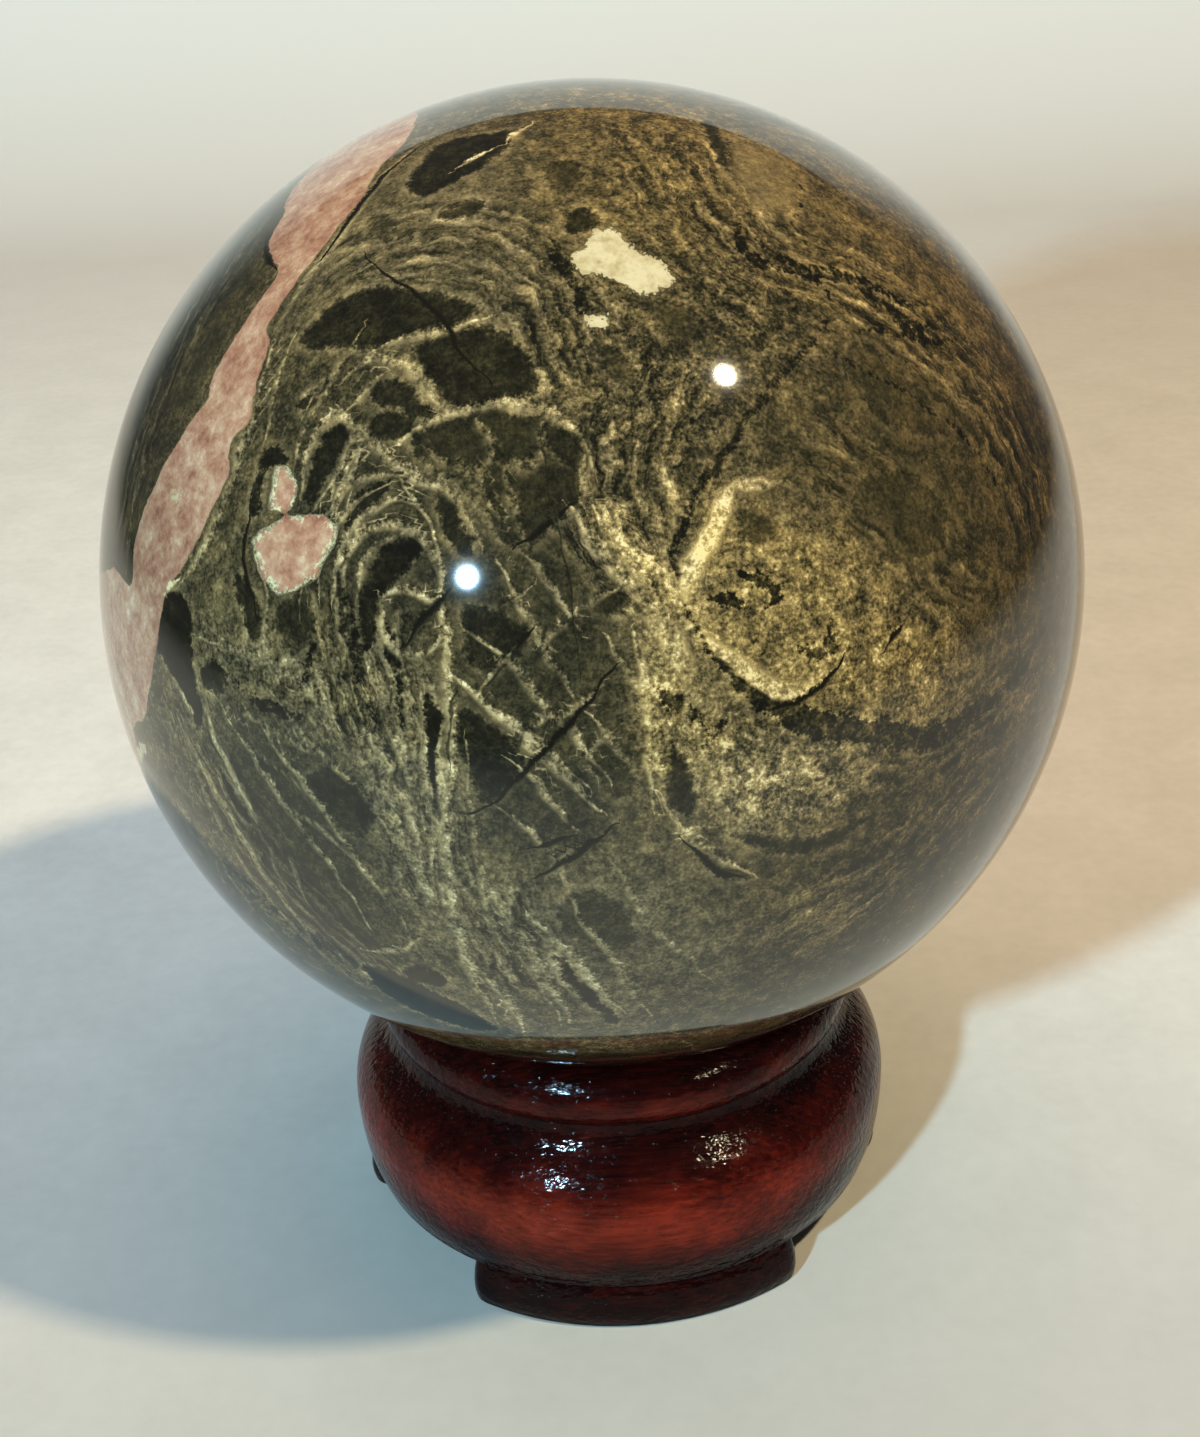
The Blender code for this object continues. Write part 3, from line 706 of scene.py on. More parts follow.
# Waves, length and reach in mm, that keep outlines from being straight
WAVES = ((9.0, 0.28), (4.0, 0.18), (2.2, 0.12))
WAVES_OF_EACH = 4
WAVE_SEED = 7
WAVE_PHASES = 6.28

# The share of a line over which an end thins out, and how thin strokes and thin lines get there
TAPER = 0.3
STROKE_END = 0.2
LINE_END = 0.35

# A stroke is as ragged as this share of its width up to this width in mm; finer cracks are less deep
RAGGED_SHARE = 0.5
RAGGED_WIDTH = 1.6
FINE_CRACK = 0.25
FINE_CRACK_DEPTH = 0.5

# Bands fade out over this length in mm, and over this share of their half width
BAND_FADE = 5.0
BAND_SIDE_FADE = 0.6

# The side that the picture does not show: how many there are of each thing, how far they reach past the
# limb and stand apart, and how they are shaped
HIDDEN_SEED = 21
HIDDEN_BANDS = 16
HIDDEN_CLASTS = 24
HIDDEN_SEAMS = 60
HIDDEN_CRACKS = 14
HIDDEN_PINKS = 4
PAST_LIMB = -0.05
SPACING = 1.6
WANDER = 0.35
RING_CORNERS = 11
RING_FLATNESS = (0.4, 0.9)
RING_LUMPS = (0.75, 1.2)


class Plan:
    """A flat map, in millimetres, of the ball around one outline or line on it."""

    def __init__(self, points):
        middle = points.mean(0)
        self.middle = middle / np.linalg.norm(middle)
        side = np.cross(self.middle, MAP_TURN)
        self.side = side / np.linalg.norm(side)
        self.up = np.cross(self.side, self.middle)
        self.points = self.flat(points)

    def flat(self, points):
        """Where unit vectors fall on the map."""
        cosine = np.clip(points @ self.middle, -1, 1)
        across = np.stack([points @ self.side, points @ self.up], 1)
        length = np.linalg.norm(across, axis=1)
        scale = np.arccos(cosine) / np.maximum(length, 1e-9) * BALL_RADIUS / MM
        return across * scale[:, None]


def nearest(flat, line, closed):
    """For flat points: distance to a line, side of it, and how far along it the nearest place is."""
    ends = np.roll(line, -1, 0) if closed else line[1:]
    starts = line if closed else line[:-1]
    best = np.full(len(flat), np.inf)
    side = np.zeros(len(flat))
    run = np.zeros(len(flat))
    done = 0.0
    for a, b in zip(starts, ends):
        step = b - a
        length = max(np.linalg.norm(step), 1e-6)
        unit = step / length
        rel = flat - a
        t = np.clip(rel @ unit, 0, length)
        gap = rel - t[:, None] * unit
        distance = np.linalg.norm(gap, axis=1)
        near = distance < best
        best[near] = distance[near]
        side[near] = np.sign(unit[0] * rel[near, 1] - unit[1] * rel[near, 0])
        run[near] = done + t[near]
        done += length
    return best, side, run, done


def inside(flat, outline):
    """Which flat points lie inside a closed outline."""
    result = np.zeros(len(flat), bool)
    for a, b in zip(outline, np.roll(outline, -1, 0)):
        crosses = (a[1] > flat[:, 1]) != (b[1] > flat[:, 1])
        rise = b[1] - a[1] if abs(b[1] - a[1]) > 1e-9 else 1e-9
        at = (b[0] - a[0]) * (flat[:, 1] - a[1]) / rise + a[0]
        result ^= crosses & (flat[:, 0] < at)
    return result


def smoothed(points, closed, cuts=2):
    """The same line with its corners rounded, by cutting them."""
    line = np.array(points, float)
    for _ in range(cuts):
        nxt = np.roll(line, -1, 0) if closed else line[1:]
        now = line if closed else line[:-1]
        rounded = np.stack([now * 0.75 + nxt * 0.25, now * 0.25 + nxt * 0.75], 1).reshape(-1, 2)
        line = rounded if closed else np.vstack([line[:1], rounded, line[-1:]])
    return line


def soft_step(value, low, high):
    """0 below low, 1 above high, and a smooth rise between."""
    t = np.clip((value - low) / (high - low), 0, 1)
    return t * t * (3 - 2 * t)


def thinned(run, length, thinnest):
    """How wide a line is along its run, as a share: thinnest at both ends, 1 between."""
    return np.clip(np.minimum(run, length - run) / (TAPER * length), thinnest, 1)


def beyond(a, b, degrees):
    """The unit vector reached by going on from a, past b, round the ball."""
    axis = np.cross(a, b)
    axis /= np.linalg.norm(axis)
    turn = np.array(Matrix.Rotation(math.radians(degrees), 3, Vector(axis)))
    return turn @ b


def tapering_band(a, b, lengths, widths):
    """A closed outline of unit vectors that carries a band on from b, away from a, and thins out."""
    left = []
    right = []
    for degrees, width in zip(lengths, widths):
        middle = beyond(a, b, degrees)
        ahead = beyond(a, b, degrees + 1.0) - middle
        side = np.cross(middle, ahead / np.linalg.norm(ahead)) * width * MM / BALL_RADIUS
        left.append(middle + side)
        right.append(middle - side)
    outline = np.array(left + right[::-1])
    return outline / np.linalg.norm(outline, axis=1)[:, None]


def wandering_line(random, start, step, count):
    """Unit vectors along a line that wanders over the ball from start; step is in mm."""
    heading = np.cross(start, random.normal(size=3))
    heading /= np.linalg.norm(heading)
    line = [start]
    for _ in range(count):
        heading = heading + random.normal(size=3) * WANDER
        heading -= line[-1] * (heading @ line[-1])
        heading /= np.linalg.norm(heading)
        ahead = line[-1] + heading * step * MM / BALL_RADIUS
        line.append(ahead / np.linalg.norm(ahead))
    return np.array(line)


def ragged_ring(random, middle, size):
    """Unit vectors round a lumpy outline about middle, stretched one way; size is in mm."""
    side = np.cross(middle, random.normal(size=3))
    side /= np.linalg.norm(side)
    up = np.cross(middle, side)
    stretch = random.uniform(*RING_FLATNESS)
    ring = []
    for k in range(RING_CORNERS):
        turn = 2 * math.pi * k / RING_CORNERS
        reach = size * random.uniform(*RING_LUMPS) * MM / BALL_RADIUS
        point = middle + (side * math.cos(turn) + up * math.sin(turn) * stretch) * reach
        ring.append(point / np.linalg.norm(point))
    return np.array(ring)


def hidden_places(random, camera, count):
    """Well spread unit vectors on the side of the ball that the picture does not show."""
    away = -np.array((camera.matrix_world.translation - BALL_MIDDLE).normalized())
    places = []
    while len(places) < count:
        place = random.normal(size=3)
        place /= np.linalg.norm(place)
        apart = min([np.linalg.norm(place - other) for other in places] + [math.inf])
        if place @ away > PAST_LIMB and apart > SPACING / math.sqrt(count):
            places.append(place)
    return places


class Painting:
    """Numbers at every point of the ball's surface, from which the stone's shader makes its colour."""

    def __init__(self, points, camera):
        self.camera = camera
        self.wavy = self.waver(points)
        self.layers = {name: np.tile(numbers, (len(points), 1)) for name, numbers in LAYERS.items()}

    def waver(self, points):
        """The points moved a little to and fro, so that outlines laid on them are not straight."""
        moved = points.copy()
        random = np.random.default_rng(WAVE_SEED)
        for length_mm, reach_mm in WAVES:
            for _ in range(WAVES_OF_EACH):
                wave = random.normal(size=3)
                wave *= 2 * math.pi * BALL_RADIUS / MM / length_mm / np.linalg.norm(wave)
                push = random.normal(size=3) * reach_mm * MM / BALL_RADIUS / 2
                moved += np.sin(points @ wave + random.uniform(0, WAVE_PHASES))[:, None] * push
        return moved / np.linalg.norm(moved, axis=1)[:, None]

    def measure(self, outline, closed, rounded=True):
        """Near points, and their distance, side and run along a line seen in the picture."""
        line = smoothed(outline, closed) if rounded else np.array(outline, float)
        return self.measure_at(sight(self.camera, line), closed)

    def measure_at(self, line, closed):
        """The same for a line of unit vectors; inside a closed one the distance is less than 0."""
        plan = Plan(line)
        reach = np.linalg.norm(plan.points, axis=1).max() + PAST_OUTLINE
        least_cosine = math.cos(min(reach * MM / BALL_RADIUS, WIDEST_PLAN))
        near = np.nonzero(self.wavy @ plan.middle > least_cosine)[0]
        flat = plan.flat(self.wavy[near])
        distance, side, run, length = nearest(flat, plan.points, closed)
        if closed:
            distance = np.where(inside(flat, plan.points), -distance, distance)
        return near, distance, side, run, length

    def hidden_side(self):
        """Goes on with the pattern, more plainly, where the picture does not show it."""
        random = np.random.default_rng(HIDDEN_SEED)
        for points, lengths, widths in VEIN_ENDS.values():
            before, end = sight(self.camera, points)
            self.add_pink(0, self.measure_at(tapering_band(before, end, lengths, widths), True))
        for place in hidden_places(random, self.camera, HIDDEN_BANDS):
            line = wandering_line(random, place, step=6.0, count=7)
            self.banding_at(line, strength=0.6, half_width=9.0)
        for place in hidden_places(random, self.camera, HIDDEN_CLASTS):
            outline = ragged_ring(random, place, size=random.uniform(3.0, 10.0))
            near, distance = self.measure_at(outline, True)[:2]
            tone = random.uniform(0.16, 0.3)
            self.cover("clasts", near, distance, tone, edge=random.uniform(1.2, 3.0))
        for place in hidden_places(random, self.camera, HIDDEN_SEAMS):
            line = wandering_line(random, place, step=3.5, count=7)
            width = random.uniform(0.5, 0.9)
            self.thin_line_at("seams", width, tone=random.uniform(0.6, 0.78), line=line)
        for place in hidden_places(random, self.camera, HIDDEN_CRACKS):
            line = wandering_line(random, place, step=2.5, count=5)
            self.thin_line_at("cracks", width=random.uniform(0.25, 0.45), tone=0.9, line=line)
        for place in hidden_places(random, self.camera, HIDDEN_PINKS):
            outline = ragged_ring(random, place, size=random.uniform(1.5, 3.2))
            self.add_pink(1, self.measure_at(outline, True))

    def field(self, tone, speckle, warmth, edge, outline):
        """Draws the ground towards these three numbers inside a soft outline."""
        near, distance = self.measure(outline, True)[:2]
        cover = soft_step(-distance, -edge, edge)[:, None]
        ground = self.layers["ground"]
        ground[near] += (np.array((tone, speckle, warmth)) - ground[near]) * cover

    def cover(self, name, near, distance, tone, edge):
        """Lays a shape, by its distance in mm, on a layer wherever it is the nearest so far."""
        layer = self.layers[name]
        closer = distance < layer[near, 0]
        here = near[closer]
        layer[here, 0] = distance[closer]
        layer[here, 1] = tone
        layer[here, 2] = edge

    def add_pink(self, column, measured):
        """Adds a measured outline to the vein, column 0, the pink clasts, 1, or the cream clasts, 2."""
        near, distance = measured[:2]
        pink = self.layers["pink"]
        pink[near, column] = np.minimum(pink[near, column], distance)

    def clast(self, tone, edge, outline):
        """A patch of one tone inside an outline seen in the picture."""
        near, distance = self.measure(outline, True)[:2]
        self.cover("clasts", near, distance, tone, edge)

    def stroke(self, tone, width, line):
        """A broad line; the wider it is, the more ragged are its sides."""
        near, distance, _, run, length = self.measure(line, False)
        half = width * thinned(run, length, STROKE_END) / 2
        self.cover("strokes", near, distance - half, tone, min(width, RAGGED_WIDTH) * RAGGED_SHARE)

    def thin_line(self, name, width, tone, line):
        """Lays a thin line seen in the picture on a layer."""
        self.thin_line_at(name, width, tone, sight(self.camera, smoothed(line, False)))

    def thin_line_at(self, name, width, tone, line):
        """Lays a thin line of unit vectors on a layer, wherever it is the nearest so far."""
        near, distance, side, run, length = self.measure_at(line, False)
        layer = self.layers[name]
        half = width * thinned(run, length, LINE_END) / 2
        closer = distance < layer[near, 1]
        here = near[closer]
        layer[here, 0] = (side * distance / half)[closer]
        layer[here, 1] = distance[closer]
        layer[here, 2] = tone

    def banding_at(self, line, strength, half_width):
        """Lets the ground's bands follow a line of unit vectors, wherever they are the strongest so far."""
        near, distance, side, run, length = self.measure_at(line, False)
        ends = soft_step(np.minimum(run, length - run), 0.0, BAND_FADE)
        weight = strength * soft_step(half_width - distance, 0.0, half_width * BAND_SIDE_FADE) * ends
        bands = self.layers["bands"]
        stronger = weight > bands[near, 2]
        bands[near[stronger]] = np.stack([(side * distance)[stronger], run[stronger], weight[stronger]], 1)

    def whole(self):
        """Lays every named part of the pattern on the ball."""
        for tone, speckle, warmth, edge, outline in FIELDS.values():
            self.field(tone, speckle, warmth, edge, outline)
        self.hidden_side()
        for strength, half_width, line in BANDING.values():
            self.banding_at(sight(self.camera, smoothed(line, False)), strength, half_width)
        for tone, edge, outline in CLASTS.values():
            self.clast(tone, edge, outline)
        for tone, width, line in STROKES.values():
            self.stroke(tone, width, line)
        for width, line in CRACKS.values():
            self.thin_line("cracks", width, 1.0 if width > FINE_CRACK else FINE_CRACK_DEPTH, line)
        for name, lines in (("seams", SEAMS), ("net", NET)):
            for width, tone, line in lines.values():
                self.thin_line(name, width, tone, line)
        self.add_pink(0, self.measure(PINK_VEIN, True))
        for column, outlines in ((1, PINK_CLASTS), (2, CREAM_CLASTS)):
            for outline in outlines.values():
                self.add_pink(column, self.measure(outline, True, False))


def ball_grid(camera):
    """Unit vectors of a sphere's points with its pole towards the camera, close set on that side."""
    steps = [0.0]
    while steps[-1] < math.pi:
        size = FRONT_STEP if steps[-1] < FRONT_ENDS else BACK_STEP
        steps.append(steps[-1] + size / BALL_RADIUS)
    tilts = np.array(steps[1:-2])
    pole = np.array((camera.matrix_world.translation - BALL_MIDDLE).normalized())
    side = np.array((1.0, 0.0, 0.0))
    up = np.cross(pole, side)
    turns = np.arange(BALL_SEGMENTS) * 2 * math.pi / BALL_SEGMENTS
    ring = np.cos(turns)[:, None] * side + np.sin(turns)[:, None] * up
    points = np.cos(tilts)[:, None, None] * pole + np.sin(tilts)[:, None, None] * ring
    return np.vstack([pole, points.reshape(-1, 3), -pole]), ringed_faces(len(tilts), BALL_SEGMENTS)


def store(mesh, name, values):
    """Gives each of a mesh's points three numbers, for its material to read."""
    attribute = mesh.attributes.new(name, "FLOAT_VECTOR", "POINT")
    attribute.data.foreach_set("vector", np.asarray(values, np.float32).ravel())


def thin_mask(tree, name, wobble):
    """1 on the thin lines of an attribute (across in half widths, away in mm, tone), and the tone."""
    across, away, tone = painted(tree, name)
    across = add_node(tree, MATH, {0: weighted(tree, across, (wobble, 1.0))}, operation="ABSOLUTE")
    line = add_node(
        tree, RANGE, {0: across, FROM_LOW: 0.3, FROM_HIGH: 2.1, TO_LOW: 1.0, TO_HIGH: 0.0}, **SMOOTH)
    close = add_node(tree, RANGE, {0: away, FROM_LOW: 0.75, FROM_HIGH: 1.1, TO_LOW: 1.0, TO_HIGH: 0.0})
    return add_node(tree, MATH, {0: line, 1: close}, operation="MULTIPLY"), tone


def shape_mask(tree, distance, edge):
    """1 inside a shape and 0 outside it; distance, less than 0 inside, and edge width are in mm."""
    across = add_node(tree, MATH, {0: distance, 1: edge}, operation="DIVIDE")
    return add_node(
        tree, RANGE, {0: across, FROM_LOW: -0.5, FROM_HIGH: 0.5, TO_LOW: 1.0, TO_HIGH: 0.0}, **SMOOTH)


def polished_stone():
    """Brecciated stone, ground and polished: hard gloss over mottled olive, tan, black-green and pink."""
    material, tree, shader = new_material("polished brecciated stone")
    place = millimetres(tree)
    # Folds 2.6 mm, lumps 0.8 mm and grains 0.3 mm across
    coarse, fine, grit = swinging_noise(tree, place, ((2.6, 4.0, 0.55), (0.8, 4.0, 0.6), (0.3, 2.0, 0.6)))
    swing = weighted(tree, 0.0, (coarse, 1.0), (fine, 1.3), (grit, 1.1))

    # Ground, with its flow bands
    tone, speckle, warmth = painted(tree, "ground")
    value = weighted(tree, tone, (swing, speckle))
    across, along, strength = painted(tree, "bands")
    bent = weighted(tree, across, (coarse, 2.6), (fine, 0.7))
    lane = add_node(tree, "ShaderNodeCombineXYZ", {0: bent, 1: weighted(tree, 0.0, (along, 0.12))})
    stripes, = swinging_noise(tree, lane, ((1.0, 4.0, 0.68),))
    value = weighted(tree, value, (stripes, weighted(tree, 0.0, (strength, 3.6))))

    # Clasts with feathery pale borders, then broad strokes
    distance, clast_tone, edge = painted(tree, "clasts")
    distance = weighted(tree, distance, (coarse, 0.9), (fine, 1.0), (grit, 0.5))
    rise = add_node(tree, RANGE, {0: distance, FROM_LOW: -0.1, FROM_HIGH: 0.3, TO_HIGH: 0.13}, **SMOOTH)
    fall = add_node(
        tree, RANGE, {0: distance, FROM_LOW: 0.35, FROM_HIGH: 1.1, TO_LOW: 1.0, TO_HIGH: 0.0}, **SMOOTH)
    value = weighted(tree, value, (rise, fall))
    inner = weighted(tree, clast_tone, (swing, 0.35))
    cover = weighted(tree, 0.0, (shape_mask(tree, distance, edge), 0.92))
    value = add_node(tree, MIX, {SHARE: cover, NUMBER_A: value, NUMBER_B: inner}, **NUMBER)
    distance, stroke_tone, raggedness = painted(tree, "strokes")
    ragged = weighted(tree, 0.0, (coarse, 2.0), (fine, 2.4), (grit, 1.2))
    distance = weighted(tree, distance, (ragged, raggedness))
    inner = weighted(tree, stroke_tone, (swing, 0.9))
    cover = weighted(tree, 0.0, (shape_mask(tree, distance, 0.35), 0.88))
    value = add_node(tree, MIX, {SHARE: cover, NUMBER_A: value, NUMBER_B: inner}, **NUMBER)

    # Thin pale lines in two layers, so that close neighbours do not cut each other, then dark cracks
    wobble = weighted(tree, 0.0, (fine, 1.8), (grit, 3.0))
    patchy = weighted(tree, coarse, (fine, 1.5))
    broken = add_node(tree, RANGE, {0: patchy, FROM_LOW: -0.3, FROM_HIGH: 0.1, TO_LOW: 0.6, TO_HIGH: 0.95})
    for layer in ("seams", "net"):
        line, line_tone = thin_mask(tree, layer, wobble)
        cover = weighted(tree, 0.0, (line, broken))
        inner = weighted(tree, line_tone, (swing, 0.8))
        value = add_node(tree, MIX, {SHARE: cover, NUMBER_A: value, NUMBER_B: inner}, **NUMBER)
    crack, depth = thin_mask(tree, "cracks", wobble)
    cover = add_node(tree, MATH, {0: crack, 1: depth}, operation="MULTIPLY")
    value = add_node(tree, MIX, {SHARE: cover, NUMBER_A: value, NUMBER_B: 0.02}, **NUMBER)

    # Tone to colour, and a yellower tint where warmth is high: partly the stone's own tan, partly painted
    # warm light on the right
    stone = add_node(tree, RAMP, {0: value}, stops=(
        (0.0, "#0f0e09"), (1.0, "#e8d9b4"), (0.14, "#1c1b12"), (0.3, "#343020"), (0.45, "#544a34"),
        (0.6, "#76684b"), (0.75, "#9a8863"), (0.9, "#c2ae83")))
    warmth = weighted(tree, warmth, (coarse, 1.2))
    tint = add_node(
        tree, MIX, {SHARE: warmth, COLOUR_A: linear("#fbf7ee"), COLOUR_B: linear("#ffeec2")},
        COLOUR_OUT, **COLOUR)
    stone = add_node(
        tree, MIX, {SHARE: 1.0, COLOUR_A: stone, COLOUR_B: tint}, COLOUR_OUT, **COLOUR, blend_type="MULTIPLY")

    # Pink vein and clasts, and cream clasts
    vein, clast, cream = painted(tree, "pink")
    blotch = weighted(tree, 0.5, (coarse, 1.0), (fine, 0.7), (grit, 0.3))
    pink = add_node(tree, RAMP, {0: blotch}, stops=(
        (0.15, "#6f4834"), (0.9, "#dfcdaa"), (0.34, "#9c6a50"), (0.5, "#b08262"), (0.66, "#c29b78")))
    vein = weighted(tree, vein, (coarse, 0.8), (fine, 0.8), (grit, 0.4))
    mask = shape_mask(tree, vein, 0.15)
    stone = add_node(tree, MIX, {SHARE: mask, COLOUR_A: stone, COLOUR_B: pink}, COLOUR_OUT, **COLOUR)
    clast = weighted(tree, clast, (coarse, 0.8), (fine, 1.0), (grit, 0.6))
    speckled = weighted(tree, 0.42, (fine, 3.2), (grit, 2.8))
    rim = add_node(
        tree, MIX, {SHARE: speckled, COLOUR_A: linear("#5f573d"), COLOUR_B: linear("#d9c898")},
        COLOUR_OUT, **COLOUR)
    mask = shape_mask(tree, clast, 0.15)
    stone = add_node(tree, MIX, {SHARE: mask, COLOUR_A: stone, COLOUR_B: rim}, COLOUR_OUT, **COLOUR)
    core = weighted(tree, clast, (coarse, 1.6), (fine, 1.2))
    mask = shape_mask(tree, weighted(tree, 0.38, (core, 1.0)), 0.25)
    stone = add_node(tree, MIX, {SHARE: mask, COLOUR_A: stone, COLOUR_B: pink}, COLOUR_OUT, **COLOUR)
    cream = weighted(tree, cream, (coarse, 1.2), (fine, 1.9), (grit, 0.8))
    pale = add_node(tree, RAMP, {0: blotch}, stops=((0.1, "#84714b"), (0.6, "#cdbb8f"), (0.35, "#b6a172")))
    mask = shape_mask(tree, cream, 0.2)
    stone = add_node(tree, MIX, {SHARE: mask, COLOUR_A: stone, COLOUR_B: pale}, COLOUR_OUT, **COLOUR)

    tree.links.new(stone, shader.inputs["Base Color"])
    shader.inputs["IOR"].default_value = 1.6
    shader.inputs["Roughness"].default_value = 0.05
    return material


def make_ball(camera):
    """The polished ball, painted with its pattern, in place of the stone_ball solid."""
    points, faces = ball_grid(camera)
    painting = Painting(points, camera)
    painting.whole()
    mesh = bpy.data.meshes.new("polished_ball")
    places = points * BALL_RADIUS + np.array(BALL_MIDDLE)
    mesh.from_pydata(places.tolist(), [], faces)
    mesh.shade_smooth()
    for name, values in painting.layers.items():
        store(mesh, name, values)
    ball = bpy.data.objects.new("polished_ball", mesh)
    bpy.context.scene.collection.objects.link(ball)
    mesh.materials.append(polished_stone())
    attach(ball, "root")
    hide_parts("stone_ball")


# Stand, in millimetres: places (r, z) on the mouldings, from the bead down to the groove, and eases,
# how far the handles of the curves between them stand from them

BEAD_RING_RADIUS = 23.5
BEAD_RADIUS = 3.5
BEAD_WRAP = math.radians(48)
BEAD_HEIGHT = 26.8
DISH_GAP = 1.0
NECK = (25.69, 24.2)
NECK_EASE = 1.95
SHOULDER = (27.99, 20.3)
SHOULDER_SLOPE = math.radians(48)
SHOULDER_EASE_ABOVE = 1.3
SHOULDER_EASE_BELOW = 2.2
BELLY = (30.89, 13.8)
BELLY_EASE_ABOVE = 2.9
BELLY_EASE_BELOW = 3.5
GROOVE = (29.19, 5.1)
GROOVE_EASE = (1.3, 1.75)
CEILING = 5.4
CEILING_BEVEL = 0.3
CEILING_EDGE = ((-0.12, 0.08), (-0.35, 0.0))
RECESS = (21.19, 6.6)
STAND_STEPS = 288

# The three feet: a handle is (how far out of the face, height), and the end cuts are how far from a
# foot's ends its cross sections are set, closer where its corners are rounded
FOOT_TOP_INSIDE = 0.6
FOOT_FACE = 30.4
FOOT_FACE_HANDLES = ((-0.5, 4.4), (0.3, 2.3))
FOOT_EDGE = 30.1
FOOT_ROUND = 0.45
FOOT_OVERLAP = 0.5
FOOT_CORNER = 2.5
FOOT_SOFTENING = 0.5
FOOT_TURN = 1.5
FOOT_HALF_ANGLE = 38.5
FOOT_MIDDLE_STEPS = 36
FOOT_END_CUTS = (0.0, 0.05, 0.14, 0.28, 0.5, 0.85, 1.3, 1.8, 2.5)
FOOT_MIDDLE_RADIUS = 25.0

# Where painted light makes the stain redder: height and half width in mm of the belly's and the lip's bands
BELLY_PAINTED_LIGHT = (14.0, 5.2)
LIP_PAINTED_LIGHT = (26.5, 2.0)
PAINTED_LIGHT_TURN = math.radians(FOOT_TURN + 6)
SHARP_EDGE = math.radians(50)


def arc(centre, radius, start, end, steps):
    """Points along part of a circle, both ends included."""
    turns = [start + (end - start) * i / steps for i in range(steps + 1)]
    return [(centre[0] + radius * math.cos(t), centre[1] + radius * math.sin(t)) for t in turns]


def curve(start, start_handle, end_handle, end, steps):
    """Points along a cubic curve that leaves and meets its ends towards their handles."""
    points = []
    for i in range(steps + 1):
        t = i / steps
        weights = ((1 - t) ** 3, 3 * (1 - t) ** 2 * t, 3 * (1 - t) * t ** 2, t ** 3)
        stretch = (start, start_handle, end_handle, end)
        points.append(tuple(sum(w * p[axis] for w, p in zip(weights, stretch)) for axis in (0, 1)))
    return points


def stand_profile():
    """Points (r, z) in mm from the axis in the dish, out over the bead and down to the hollow below."""
    ball_height = BALL_MIDDLE.z / MM
    ball_radius = BALL_RADIUS / MM
    reach = math.hypot(BEAD_RING_RADIUS, ball_height - BEAD_HEIGHT)
    dish_radius = ball_radius + DISH_GAP
    cosine = (reach ** 2 + BEAD_RADIUS ** 2 - dish_radius ** 2) / (2 * reach * BEAD_RADIUS)
    to_ball = math.atan2(ball_height - BEAD_HEIGHT, -BEAD_RING_RADIUS)
    bead_start = to_ball + math.acos(cosine)
    bead = arc((BEAD_RING_RADIUS, BEAD_HEIGHT), BEAD_RADIUS, bead_start, -BEAD_WRAP, steps=40)
    dish_end = math.atan2(bead[0][1] - ball_height, bead[0][0])
    dish = arc((0.0, ball_height), dish_radius, -math.pi / 2, dish_end, steps=12)
    dish[0] = (0.0, dish[0][1])
    lean = (math.sin(SHOULDER_SLOPE), -math.cos(SHOULDER_SLOPE))
    above = (SHOULDER[0] - lean[0] * SHOULDER_EASE_ABOVE, SHOULDER[1] - lean[1] * SHOULDER_EASE_ABOVE)
    below = (SHOULDER[0] + lean[0] * SHOULDER_EASE_BELOW, SHOULDER[1] + lean[1] * SHOULDER_EASE_BELOW)
    cove = curve(NECK, (NECK[0], NECK[1] - NECK_EASE), above, SHOULDER, steps=16)
    over = curve(SHOULDER, below, (BELLY[0], BELLY[1] + BELLY_EASE_ABOVE), BELLY, steps=18)
    out_of_groove = (GROOVE[0] + GROOVE_EASE[0], GROOVE[1] + GROOVE_EASE[1])
    under = curve(BELLY, (BELLY[0], BELLY[1] - BELLY_EASE_BELOW), out_of_groove, GROOVE, steps=20)
    under = [p for p in under if p[1] > CEILING + CEILING_BEVEL]
    edge = [(under[-1][0] + out, CEILING + up) for out, up in CEILING_EDGE]
    bevel = [(RECESS[0] + CEILING_BEVEL, CEILING), (RECESS[0], CEILING + CEILING_BEVEL)]
    inner = bevel + [RECESS, (0.0, RECESS[1])]
    return dish[:-1] + bead + cove + over[1:] + under[1:] + edge + inner


def revolved(profile):
    """Vertices and faces of the profile turned round Z, with one point at each end of the axis."""
    turns = [2 * math.pi * i / STAND_STEPS for i in range(STAND_STEPS)]
    verts = [(0.0, 0.0, profile[0][1])]
    for r, z in profile[1:-1]:
        verts += [(r * math.cos(t), r * math.sin(t), z) for t in turns]
    verts.append((0.0, 0.0, profile[-1][1]))
    return verts, ringed_faces(len(profile) - 2, STAND_STEPS)


def round_off(distance, radius):
    """How far a rounded edge has drawn in, at this distance from the end."""
    if distance >= radius:
        return 0.0
    return radius - math.sqrt(max(radius ** 2 - (radius - distance) ** 2, 0.0))


def foot_section(corner, soft):
    """The foot's section (r, z): its outer face down, flat underside, and inner side up."""
    top, bottom = [(FOOT_FACE + out, height) for out, height in FOOT_FACE_HANDLES]
    face = curve((GROOVE[0], GROOVE[1] + FOOT_TOP_INSIDE), top, bottom, (FOOT_EDGE, FOOT_ROUND), steps=14)
    low = arc((FOOT_EDGE - FOOT_ROUND, FOOT_ROUND), FOOT_ROUND, 0.0, -math.pi / 2, steps=5)[1:]
    heel = arc((RECESS[0] + FOOT_ROUND, FOOT_ROUND), FOOT_ROUND, -math.pi / 2, -math.pi, steps=5)
    section = face + low + heel + [(RECESS[0], CEILING + FOOT_OVERLAP)]
    moved = []
    for r, z in section:
        drawn = corner + soft if r > FOOT_MIDDLE_RADIUS else -soft
        moved.append((r - drawn, max(z, soft)))
    return moved


